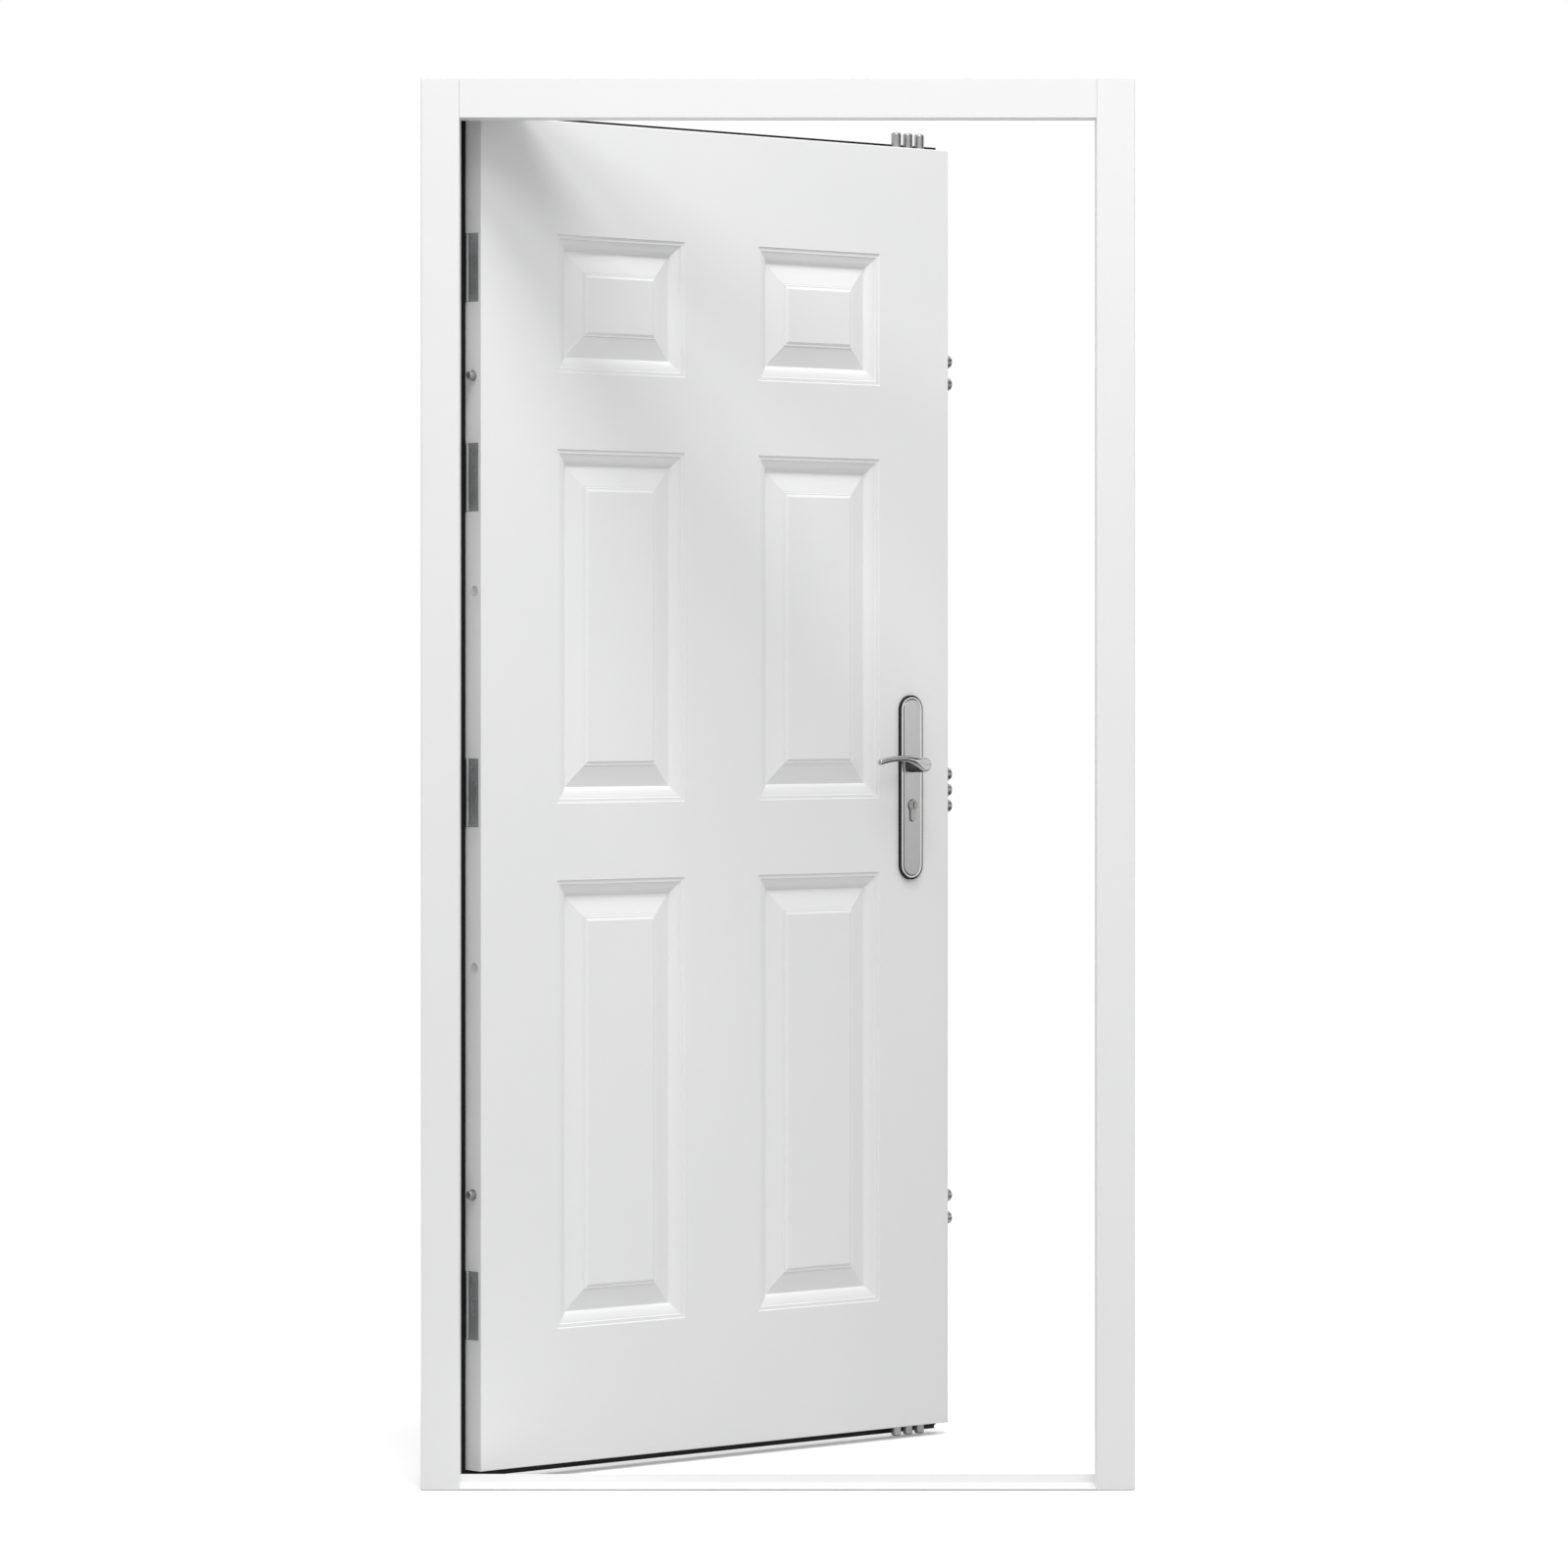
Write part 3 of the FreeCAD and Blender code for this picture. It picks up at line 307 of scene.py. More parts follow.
def addTint(material, source, first, second, target):
    blend = addNode(material, "ShaderNodeMix", data_type="RGBA")
    colours = [socket for socket in blend.inputs if socket.type == "RGBA"]
    colours[0].default_value = (*first, 1)
    colours[1].default_value = (*second, 1)
    material.node_tree.links.new(source, blend.inputs[0])
    result = [socket for socket in blend.outputs if socket.type == "RGBA"][0]
    material.node_tree.links.new(result, target)


def addBump(material, shader, source, strength, distance):
    bump = addNode(material, "ShaderNodeBump")
    bump.inputs["Strength"].default_value = strength
    bump.inputs["Distance"].default_value = distance
    material.node_tree.links.new(source, bump.inputs["Height"])
    material.node_tree.links.new(bump.outputs["Normal"], shader.inputs["Normal"])


def makePowderCoat():
    material, shader = newMaterial("whitePowderCoat", (0.84, 0.84, 0.84), 0.4)
    cloud = addNoise(material, 3.0)
    addTint(material, addRange(material, cloud, 0, 1), (0.835, 0.837, 0.84), (0.85, 0.85, 0.85),
            shader.inputs["Base Color"])
    gloss = addNoise(material, 25.0)
    material.node_tree.links.new(addRange(material, gloss, 0.37, 0.43), shader.inputs["Roughness"])
    addBump(material, shader, addNoise(material, 420.0), 0.06, 0.0003)
    return material


def makeMetal(name, dark, light, roughLow, roughHigh, stretch, scale, bump):
    material, shader = newMaterial(name, dark, roughLow, 1.0)
    grain = addNoise(material, scale, stretch, 3.0, -leafHang["openAngle"])
    cloud = addNoise(material, 30.0)
    addTint(material, addRange(material, cloud, 0, 1), dark, light, shader.inputs["Base Color"])
    material.node_tree.links.new(addRange(material, grain, roughLow, roughHigh),
                                 shader.inputs["Roughness"])
    addBump(material, shader, grain, bump, 0.0002)
    return material


# A brushed plate with painted shade: its colour gets a little darker downwards, in place of the
# darker reflection lower on the plate
def makePlateSteelWithPaintedShade(name, high, low, roughness, top, bottom):
    material, shader = newMaterial(name, high, roughness, 1.0)
    coords = addNode(material, "ShaderNodeTexCoord")
    split = addNode(material, "ShaderNodeSeparateXYZ")
    material.node_tree.links.new(coords.outputs["Object"], split.inputs[0])
    # painted shade: the colour runs from high at the plate's top to low at its bottom
    paintedShadeFade = addRange(material, split.outputs["Z"], 0, 1)
    paintedShadeFade.node.inputs["From Min"].default_value = bottom
    paintedShadeFade.node.inputs["From Max"].default_value = top
    addTint(material, paintedShadeFade, low, high, shader.inputs["Base Color"])
    grain = addNoise(material, 900.0, (1, 1, 0.02), 3.0, -leafHang["openAngle"])
    material.node_tree.links.new(addRange(material, grain, roughness - 0.05, roughness + 0.05),
                                 shader.inputs["Roughness"])
    addBump(material, shader, grain, 0.03, 0.0002)
    return material


def makeDull(name, dark, light, roughness, scale, bump):
    material, shader = newMaterial(name, dark, roughness)
    speckle = addNoise(material, scale)
    addTint(material, addRange(material, speckle, 0, 1), dark, light, shader.inputs["Base Color"])
    addBump(material, shader, speckle, bump, 0.0003)
    return material


powderCoat = makePowderCoat()
zincPlate = makeMetal("zincPlate", (0.47, 0.475, 0.48), (0.58, 0.585, 0.59), 0.5, 0.62,
                      (1, 1, 1), 160.0, 0.08)
boltSteel = makeMetal("boltSteel", (0.37, 0.37, 0.37), (0.47, 0.47, 0.47), 0.28, 0.42,
                      (1, 1, 1), 300.0, 0.05)
# The handle plate's field, with painted shade that darkens it downwards
plateChrome = makePlateSteelWithPaintedShade("plateChrome", (0.62, 0.62, 0.62), (0.5, 0.5, 0.5), 0.3,
                             1.134, 0.853)
# The rim's smoother polish is real; its brighter colour than the field is a painted highlight
rimChromePaintedHighlight = makeMetal("rimChromePaintedHighlight", (0.76, 0.76, 0.76), (0.8, 0.8, 0.8), 0.12, 0.18,
                      (1, 1, 1), 300.0, 0.02)
satinChrome = makeMetal("satinChrome", (0.52, 0.52, 0.52), (0.57, 0.57, 0.57), 0.08, 0.14,
                        (1, 1, 1), 300.0, 0.02)
# The near-black colour of the lever's neck sleeve is painted shade, standing in for the dark
# reflection there
sleeveSteelPaintedShade = makeMetal("sleeveSteelPaintedShade", (0.08, 0.08, 0.08), (0.12, 0.12, 0.12), 0.25, 0.35,
                        (1, 1, 1), 300.0, 0.02)
cylinderNickel = makeMetal("cylinderNickel", (0.42, 0.415, 0.41), (0.48, 0.475, 0.47), 0.28, 0.4,
                           (1, 1, 1), 500.0, 0.03)
gasketPlastic = makeDull("gasketPlastic", (0.006, 0.006, 0.006), (0.01, 0.01, 0.01), 0.5,
                         600.0, 0.05)
sealRubber = makeDull("sealRubber", (0.003, 0.003, 0.003), (0.006, 0.006, 0.006), 0.7,
                      700.0, 0.1)
stripAlloy = makeDull("stripAlloy", (0.02, 0.02, 0.02), (0.03, 0.03, 0.03), 0.5, 500.0, 0.1)
plugPlastic = makeDull("plugPlastic", (0.55, 0.55, 0.54), (0.62, 0.62, 0.61), 0.45,
                       400.0, 0.05)
corePaper = makeDull("corePaper", (0.5, 0.38, 0.22), (0.62, 0.48, 0.3), 0.85, 200.0, 0.3)
for material in (gasketPlastic, sealRubber, stripAlloy):
    shader = material.node_tree.nodes["Principled BSDF"]
    shader.inputs["Specular IOR Level"].default_value = 0.25
print("materials made")


# Door skins with six pressed panels
skinDesign = {
    "columns": ((0.143, 0.390), (0.537, 0.784)),   # from the hinge edge
    "rows": ((0.213, 0.8652), (0.9774, 1.4927), (1.6045, 1.805)),
    "sheet": 0.0012,
    "arrisRound": 0.0016,
    "stepRound": 0.0002,
    "softAngle": 24,                               # bends below this many degrees shade smoothly
    "seatGap": 0.0003,
    "boltGap": 0.0004,
}
# The pressed moulding as inset and depth in millimetres, from the panel's edge to its field
moulding = {
    "lip": ((0.0, 0.0), (0.7, 2.0), (6.0, 1.9), (6.7, 3.7)),
    "ovolo": ((6.7, 3.7), (13.5, 5.0), (20.8, 7.2), (23.0, 12.0)),
    "slope": ((23.0, 12.0), (30.0, 10.2), (41.0, 7.5), (52.5, 4.6)),
    "field": ((54.2, 4.9), (54.7, 3.1), (56.8, 3.2), (60.7, 1.4)),
    "curvePoints": 9,
}


def mouldingRun():
    points = list(moulding["lip"])
    for name in ("ovolo", "slope"):
        start, pull, push, end = [Vector((*point, 0)) for point in moulding[name]]
        curve = interpolate_bezier(start, pull, push, end, moulding["curvePoints"])
        points += [(point.x, point.y) for point in curve[1:]]
    return points + list(moulding["field"])


# Draws a skin flat, presses its panels in, folds its edges back and gives it the sheet's thickness
def pressSkin(name, width, low, high, depth, inset):
    bpy.ops.object.select_all(action="DESELECT")
    middle = (width / 2, 0, (low + high) / 2)
    bpy.ops.mesh.primitive_plane_add(size=1, location=middle, rotation=(math.pi / 2, 0, 0))
    skin = newest(name)
    skin.scale = (width - 2 * inset, high - low - 2 * inset, 1)
    settle(skin)
    openMesh(skin)
    for column in skinDesign["columns"]:
        for x in column:
            bpy.ops.mesh.select_all(action="SELECT")
            bpy.ops.mesh.bisect(plane_co=(x, 0, 0), plane_no=(1, 0, 0))
    for rowSpan in skinDesign["rows"]:
        for z in rowSpan:
            bpy.ops.mesh.select_all(action="SELECT")
            bpy.ops.mesh.bisect(plane_co=(0, 0, z), plane_no=(0, 0, 1))

    def inPanel(centre, normal):
        across = any(first < centre.x < last for first, last in skinDesign["columns"])
        upright = any(first < centre.z < last for first, last in skinDesign["rows"])
        return across and upright

    bpy.ops.mesh.select_mode(type="FACE")
    chooseFaces(inPanel)
    run = mouldingRun()
    for (inset0, depth0), (inset1, depth1) in zip(run, run[1:]):
        bpy.ops.mesh.inset(thickness=(inset1 - inset0) / 1000, depth=-(depth1 - depth0) / 1000,
                           use_even_offset=True)
    closeMesh()
    roundEdges(skin, skinDesign["stepRound"], 2, 18)
    openMesh(skin, "EDGE")
    edgeX = (inset, width - inset)
    edgeZ = (low + inset, high - inset)

    def onRim(first, second):
        for i, ends in ((0, edgeX), (2, edgeZ)):
            for place in ends:
                if abs(first[i] - place) < 1e-5 and abs(second[i] - place) < 1e-5:
                    return True
        return False

    chooseEdges(onRim)
    bpy.ops.mesh.extrude_region_move(TRANSFORM_OT_translate={"value": (0, depth, 0)})
    chooseEdges(lambda a, b: onRim(a, b) and abs(a.y) < 1e-5 and abs(b.y) < 1e-5)
    bpy.ops.mesh.bevel(offset=skinDesign["arrisRound"], segments=4, affect="EDGES")
    bpy.ops.mesh.select_all(action="SELECT")
    bpy.ops.mesh.normals_make_consistent(inside=False)
    closeMesh()
    addModifier(skin, "SOLIDIFY", thickness=skinDesign["sheet"], offset=-1)
    return skin


hingeNames = ("top", "upper", "lower", "bottom")
lockNames = ("upper", "middle", "lower")


# The recesses for the hinge plates and the faceplates in the skins' edges
def edgeCutters():
    grow = skinDesign["seatGap"]
    cutters = []
    for hinge in hingeNames:
        low, high = leafBox(hinge + "_hinge_door_leaf")
        cutters.append(addBlock("seat", (-0.01, low.y - grow, low.z - grow),
                                (0.003 + grow, 0.06, high.z + grow)))
    for lock in lockNames:
        low, high = leafBox(lock + "_lock_faceplate")
        cutters.append(addBlock("seat", low - Vector((grow, grow, grow)),
                                high + Vector((0.01, grow, grow))))
    return cutters


def boltHoles():
    cutters = []
    for node, end in (("top_bolts", 1), ("bottom_bolts", 0)):
        low, high = leafBox(node)
        skinEnd = leafBox("outer_skin")[end].z
        radius = (high.y - low.y) / 2
        spacing = (high.x - low.x - 2 * radius) / 2
        for i in range(3):
            x = low.x + radius + i * spacing
            y = (low.y + high.y) / 2
            cutters.append(addRod("hole", (x, y, skinEnd - 0.006), (x, y, skinEnd + 0.006),
                                  radius + skinDesign["boltGap"], 32))
    return cutters


skinLow, skinHigh = leafBox("outer_skin")
outerSkin = pressSkin("outerSkin", skinHigh.x, skinLow.z, skinHigh.z, skinHigh.y, 0)
carve(outerSkin, joinPieces(edgeCutters() + boltHoles()))
smooth(outerSkin, skinDesign["softAngle"])
hang(outerSkin)
mount(outerSkin, "leaf", powderCoat, "outer_skin")
print("outer skin pressed", len(outerSkin.data.polygons))

panLow, panHigh = leafBox("inner_skin")
innerSkin = pressSkin("innerSkin", skinHigh.x, skinLow.z, skinHigh.z, panHigh.y - panLow.y,
                      panLow.x)
innerSkin.matrix_world = (Matrix.Translation((skinHigh.x, panHigh.y, 0))
                          @ Matrix.Rotation(math.pi, 4, "Z"))
settle(innerSkin)
carve(innerSkin, joinPieces(edgeCutters()))
smooth(innerSkin, skinDesign["softAngle"])
hang(innerSkin)
mount(innerSkin, "leaf", powderCoat, "inner_skin")
print("inner skin pressed", len(innerSkin.data.polygons))


def pieceName(node, ending):
    words = node.split("_")
    return words[0] + "".join(word.capitalize() for word in words[1:]) + ending


# Frame members: the CAD shapes with the bends of their sheet rounded
frameDesign = {"bendRound": 0.0022, "segments": 4, "rebateDepth": 0.052, "softAngle": 24}
for node, axis in (("hinge_jamb", 2), ("lock_jamb", 2), ("head", 0), ("threshold", 0)):
    member = copyNode(node, pieceName(node, "Formed"))
    low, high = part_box(node)

    # The bends run the member's full length, on its outer faces
    def isBend(first, second):
        run = second - first
        folds = (low.y, high.y, high.y - frameDesign["rebateDepth"])
        onFold = min(abs(first.y - fold) for fold in folds) < 1e-4
        return onFold and abs(run[axis]) > 0.99 * (high[axis] - low[axis])

    openMesh(member, "EDGE")
    chooseEdges(isBend)
    bpy.ops.mesh.bevel(offset=min(frameDesign["bendRound"], (high.z - low.z) / 12),
                       segments=frameDesign["segments"], affect="EDGES")
    closeMesh()
    smooth(member, frameDesign["softAngle"])
    mount(member, "frame", powderCoat, node)
print("frame dressed")


# Plain dressed copies of the metal fittings
def dress(node, body, material, width, segments=2, angle=35):
    piece = copyNode(node, pieceName(node, "Dressed"))
    roundEdges(piece, width, segments, angle)
    smooth(piece, 30)
    mount(piece, body, material, node)


screwDesign = {
    "radius": 0.0041,
    "thickness": 0.0011,
    "crown": ((0.0003, 0.0002), (0.0012, 0.0001)),   # each step's inset and rise
    "gap": 0.0004,
    "slotWidth": 0.0009,
    "slotReach": 0.55,      # as a share of the radius
    "sunk": 0.0001,
}


# A screw head that looks along -X from the origin, with a cross recess
def makeScrew():
    radius = screwDesign["radius"]
    screw = addDisc("screw", (0, screwDesign["thickness"], 0), radius, 0.0008, 28)
    stepFaces(screwDesign["crown"])
    closeShell()
    half = screwDesign["slotWidth"] / 2
    reach = radius * screwDesign["slotReach"]
    for x, z in ((reach, half), (half, reach)):
        carve(screw, addBlock("recess", (-x, -0.001, -z), (x, 0.0005, z)))
    screw.matrix_world = Matrix.Rotation(-math.pi / 2, 4, "Z")
    settle(screw)
    return screw


# Sinks a screw into a plate whose face at x looks towards facing, and joins it to the plate
def sinkScrews(piece, screw, facing, places):
    seats = []
    heads = []
    inwards = -facing
    turn = Matrix.Rotation(math.pi if facing > 0 else 0, 4, "Z")
    for x, y, z in places:
        seats.append(addRod("seat", (x - inwards * 0.001, y, z),
                            (x + inwards * (screwDesign["thickness"] + 0.0002), y, z),
                            screwDesign["radius"] + screwDesign["gap"], 28))
        place = Matrix.Translation((x + inwards * screwDesign["sunk"], y, z))
        heads.append(copyPiece(screw, "head", place @ turn))
    carve(piece, joinPieces(seats))
    return joinPieces([piece] + heads)


hingeDesign = {
    "outerScrews": (0.0385, 0.021),     # height from the hinge's middle, depth in the leaf
    "innerScrews": (0.0115, 0.0145),
    "rib": (0.0305, 0.0346),            # depth of the pressed rib's two edges
    "ribHeight": 0.0012,
    "ribRound": 0.0011,
    "plateRound": 0.0004,
    "plateThickness": 0.003,
}
screwHead = makeScrew()
for hinge in hingeNames:
    node = hinge + "_hinge_door_leaf"
    low, high = leafBox(node)
    middle = (low.z + high.z) / 2
    spots = [(rise * side, depth) for rise, depth in
             (hingeDesign["outerScrews"], hingeDesign["innerScrews"]) for side in (-1, 1)]
    plate = leafCopy(node, pieceName(node, "Dressed"))
    roundEdges(plate, hingeDesign["plateRound"], 2, 35)
    plate = sinkScrews(plate, screwHead, -1, [(0, depth, middle + rise) for rise, depth in spots])
    ribFront, ribBack = hingeDesign["rib"]
    rib = addBlock("rib", (-hingeDesign["ribHeight"], ribFront, low.z + 0.0002),
                   (0.001, ribBack, high.z - 0.0002))
    roundEdges(rib, hingeDesign["ribRound"], 4, 35)
    plate = joinPieces([plate, rib])
    smooth(plate, 30)
    hang(plate)
    mount(plate, "leaf", zincPlate, node)

    node = hinge + "_hinge_frame_leaf"
    low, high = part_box(node)
    plate = copyNode(node, pieceName(node, "Dressed"))
    roundEdges(plate, hingeDesign["plateRound"], 2, 35)
    plateFace = low.x + hingeDesign["plateThickness"]
    closedFront = swing["pos_m"][1] - leafHang["pinDepth"]
    plate = sinkScrews(plate, screwHead, 1, [(plateFace, closedFront + depth, middle + rise)
                                             for rise, depth in spots])
    smooth(plate, 30)
    mount(plate, "frame", zincPlate, node)
print("hinges dressed")
dress("hinge_pins", "frame", boltSteel, 0.0005)
lockDesign = {"plateRound": 0.0004, "screwInset": 0.009}
for lock in lockNames:
    node = lock + "_lock_faceplate"
    low, high = leafBox(node)
    inset = lockDesign["screwInset"]
    plate = leafCopy(node, pieceName(node, "Dressed"))
    roundEdges(plate, lockDesign["plateRound"], 2, 35)
    plate = sinkScrews(plate, screwHead, 1, [(high.x, (low.y + high.y) / 2, z)
                                             for z in (low.z + inset, high.z - inset)])
    smooth(plate, 30)
    hang(plate)
    mount(plate, "leaf", zincPlate, node)
    dress(lock + "_side_bolts", "side_bolts", boltSteel, 0.0006)
bpy.data.objects.remove(screwHead)
dress("top_bolts", "top_bolts", boltSteel, 0.0006)
dress("bottom_bolts", "bottom_bolts", boltSteel, 0.0006)
dress("dog_bolts", "leaf", boltSteel, 0.0004)
plugDesign = {"edgeRound": 0.0003, "dish": ((0.0019, 0), (0.0003, -0.0006))}
plugs = leafCopy("hole_plugs", "holePlugsDressed")
plugFace = leafBox("hole_plugs")[0].x
roundEdges(plugs, plugDesign["edgeRound"], 3, 35)
openMesh(plugs)
chooseFaces(lambda centre, normal: centre.x < plugFace + 1e-5 and normal.x < -0.99)
stepFaces(plugDesign["dish"])
closeMesh()
smooth(plugs, 30)
hang(plugs)
mount(plugs, "leaf", plugPlastic, "hole_plugs")
for side in ("top", "bottom", "hinge_side", "lock_side"):
    dress("seal_" + side, "leaf", sealRubber, 0.0012, 4)
dress("bottom_strip", "leaf", stripAlloy, 0.0003)

# Handle set, drawn on the outer face and mirrored for the inner one
handleDesign = {
    "spindleHeight": 1.028,
    "gasketHeight": 0.0052,
    "gasketEdge": 0.0013,       # how far the gasket stands out round the plate
    "plateStart": -0.004,
    "plateThickness": 0.0006,
    # The pressed rim from the plate's edge inwards: each step's inset and rise
    "rim": ((0.0002, 0.0003), (0.0006, 0.0004), (0.0011, 0.0003), (0.0011, 0), (0.001, -0.0003),
            (0.0003, -0.001), (0.0006, 0), (0.0002, 0.0019), (0.0004, 0.0005), (0.0007, 0.0002)),
    "rimWidth": 0.0052,         # polished smoother than the field, with a brighter colour as a painted highlight
    "ovalSides": 88,
    "spindleHole": 0.007,
    "cylinderGap": 0.0007,
    "cylinderTail": 0.005,      # radius of the narrow part below the cylinder's head
}
plateLow, plateHigh = leafBox("outside_backplate")
handleX = (plateLow.x + plateHigh.x) / 2


def addOval(name, edge, start, thickness):
    width = plateHigh.x - plateLow.x - 2 * edge
    radius = width / 2
    centre = (handleX, start, plateLow.z + edge + radius)
    oval = addDisc(name, centre, radius, thickness, handleDesign["ovalSides"])
    bpy.ops.mesh.select_mode(type="VERT")
    chooseVerts(lambda place: place.z > centre[2])
    rise = plateHigh.z - plateLow.z - 2 * edge - width
    bpy.ops.transform.translate(value=(0, 0, rise))
    bpy.ops.mesh.select_mode(type="FACE")
    front = start - thickness
    chooseFaces(lambda middle, normal: abs(middle.y - front) < 1e-5)
    return oval


# The opening for the spindle, and for the cylinder where its head passes through
def handleHoles():
    spindleHole = addRod("hole", (handleX, -0.02, handleDesign["spindleHeight"]),
                         (handleX, 0.01, handleDesign["spindleHeight"]),
                         handleDesign["spindleHole"], 40)
    low, high = leafBox("lock_cylinder")
    grow = handleDesign["cylinderGap"]
    headRadius = (high.x - low.x) / 2
    headHeight = high.z - headRadius
    tailRadius = handleDesign["cylinderTail"]
    head = addRod("hole", (handleX, -0.02, headHeight), (handleX, 0.01, headHeight),
                  headRadius + grow, 40)
    tail = addBlock("hole", (handleX - tailRadius - grow, -0.02, low.z + tailRadius),
                    (handleX + tailRadius + grow, 0.01, headHeight))
    tailEnd = addRod("hole", (handleX, -0.02, low.z + tailRadius),
                     (handleX, 0.01, low.z + tailRadius), tailRadius + grow, 32)
    return [spindleHole, head, tail, tailEnd]


gasket = addOval("outsideGasket", 0, 0, handleDesign["gasketHeight"])
stepFaces(((0.0003, 0),))
closeShell()
plate = addOval("outsidePlate", handleDesign["gasketEdge"], handleDesign["plateStart"],
                handleDesign["plateThickness"])
stepFaces(handleDesign["rim"])
closeShell()


# How far a point of the handle plate lies from the plate's outline
def edgeDistance(place):
    radius = (plateHigh.x - plateLow.x) / 2
    spineZ = min(max(place.z, plateLow.z + radius), plateHigh.z - radius)
    return radius - math.hypot(place.x - handleX, place.z - spineZ)


plate.data.materials.append(plateChrome)
plate.data.materials.append(rimChromePaintedHighlight)
for face in plate.data.polygons:
    face.material_index = 1 if edgeDistance(face.center) < handleDesign["rimWidth"] else 0
for piece in (gasket, plate):
    for hole in handleHoles():
        carve(piece, hole)
    smooth(piece, 40)

leverDesign = {
    # Along the arm from the spindle, then top, bottom, front and back, in millimetres
    "stations": (
        (-11.9, 1.5, -1.5, 36.0, 28.5), (-11.2, 4.6, -4.6, 38.2, 27.0),
        (-9.0, 8.0, -8.0, 40.0, 26.3), (-5.0, 10.9, -10.9, 41.0, 26.0),
        (0.0, 11.9, -11.9, 41.2, 26.0), (5.0, 12.0, -10.2, 40.6, 26.0),
        (10.0, 12.3, -6.5, 39.4, 26.0), (20.0, 13.2, -1.0, 38.0, 26.2),
        (32.0, 14.1, 3.6, 37.4, 26.4), (45.5, 14.4, 5.6, 37.2, 26.6),
        (60.0, 13.8, 5.2, 37.0, 26.8), (75.0, 12.0, 3.2, 36.8, 27.0),
        (86.0, 10.2, 1.0, 36.6, 27.2), (91.8, 8.7, -1.0, 36.4, 27.4)),
    "frontFace": 37.8,          # the arm's front is cut flat here
    "sides": 20,
    "voxel": 0.0006,
    # The sleeve behind the arm: distance from the outer face and radius, in millimetres
    "sleeve": ((7.3, 12.0), (8.6, 12.0), (9.0, 11.3), (10.0, 11.3), (10.4, 11.6), (27.5, 11.6)),
}


# The middle and the size of the arm's section at a station
def armSection(station):
    out, top, bottom, front, back = [value / 1000 for value in station]
    middle = Vector((handleX - out, -(front + back) / 2,
                     handleDesign["spindleHeight"] + (top + bottom) / 2))
    return middle, front - back, top - bottom


def makeLeverArm(name):
    place, depth, height = armSection(leverDesign["stations"][0])
    bpy.ops.object.select_all(action="DESELECT")
    bpy.ops.mesh.primitive_circle_add(vertices=leverDesign["sides"], radius=0.5, fill_type="NGON",
                                      location=place, rotation=(0, -math.pi / 2, 0))
    arm = newest(name)
    arm.scale = (height, depth, 1)
    settle(arm)
    openMesh(arm)
    bpy.ops.mesh.select_all(action="SELECT")
    for station in leverDesign["stations"][1:]:
        nextPlace, nextDepth, nextHeight = armSection(station)
        bpy.ops.mesh.extrude_region_move(TRANSFORM_OT_translate={"value": nextPlace - place})
        bpy.ops.transform.resize(value=(1, nextDepth / depth, nextHeight / height),
                                 center_override=nextPlace)
        place, depth, height = nextPlace, nextDepth, nextHeight
    bpy.ops.mesh.inset(thickness=0.0009, depth=-0.0002)
    closeShell()
    addModifier(arm, "SUBSURF", levels=2)
    openMesh(arm)
    bpy.ops.mesh.select_all(action="SELECT")
    bpy.ops.mesh.bisect(plane_co=(0, -leverDesign["frontFace"] / 1000, 0), plane_no=(0, -1, 0),
                        use_fill=True, clear_outer=True)
    closeShell()
    addModifier(arm, "REMESH", mode="VOXEL", voxel_size=leverDesign["voxel"])
    addModifier(arm, "SMOOTH", factor=0.5, iterations=3)
    smooth(arm, 60, False)
    return arm


def makeLeverSleeve(name):
    steps = [(out / 1000, radius / 1000) for out, radius in leverDesign["sleeve"]]
    centre = (handleX, -steps[0][0], handleDesign["spindleHeight"])
    sleeve = addDisc(name, centre, steps[0][1], steps[1][0] - steps[0][0])
    for (out, radius), (nextOut, nextRadius) in zip(steps[1:], steps[2:]):
        bpy.ops.mesh.extrude_region_move(TRANSFORM_OT_translate={"value": (0, out - nextOut, 0)})
        share = nextRadius / radius
        middle = (handleX, -nextOut, handleDesign["spindleHeight"])
        bpy.ops.transform.resize(value=(share, 1, share), center_override=middle)
    closeShell()
    smooth(sleeve, 40)
    return sleeve


arm = makeLeverArm("outsideLeverArm")
sleeve = makeLeverSleeve("outsideLeverSleeve")
handlePieces = ((gasket, "leaf", gasketPlastic, "black_rubber", "backplate"),
                (plate, "leaf", None, "handle_chrome", "backplate"),
                (arm, "levers", satinChrome, "handle_chrome", "lever"),
                (sleeve, "levers", sleeveSteelPaintedShade, "handle_chrome", "lever"))
for piece, body, material, slot, node in handlePieces:
    insideName = piece.name.replace("outside", "inside")
    inside = mirrorPiece(piece, insideName, leafHang["thickness"])
    smooth(inside, 40, piece != arm)
    for made, side in ((piece, "outside_"), (inside, "inside_")):
        hang(made)
        mount(made, body, material, side + node)

cylinderDesign = {"edgeRound": 0.0004, "ringOuter": 0.0068, "ringInner": 0.0061,
                  "ringDepth": 0.0012}
cylinder = leafCopy("lock_cylinder", "lockCylinderDressed")
roundEdges(cylinder, cylinderDesign["edgeRound"], 2, 35)
cylinderLow, cylinderHigh = leafBox("lock_cylinder")
plugHeight = cylinderHigh.z - (cylinderHigh.x - cylinderLow.x) / 2
for face, inwards in ((cylinderLow.y, 1), (cylinderHigh.y, -1)):
    start = (handleX, face - inwards * 0.001, plugHeight)
    end = (handleX, face + inwards * cylinderDesign["ringDepth"], plugHeight)
    ring = addRod("ring", start, end, cylinderDesign["ringOuter"], 40)
    carve(ring, addRod("middle", (handleX, face - inwards * 0.003, plugHeight),
                       (handleX, face + inwards * 0.003, plugHeight),
                       cylinderDesign["ringInner"], 40))
    carve(cylinder, ring)
smooth(cylinder, 30)
hang(cylinder)
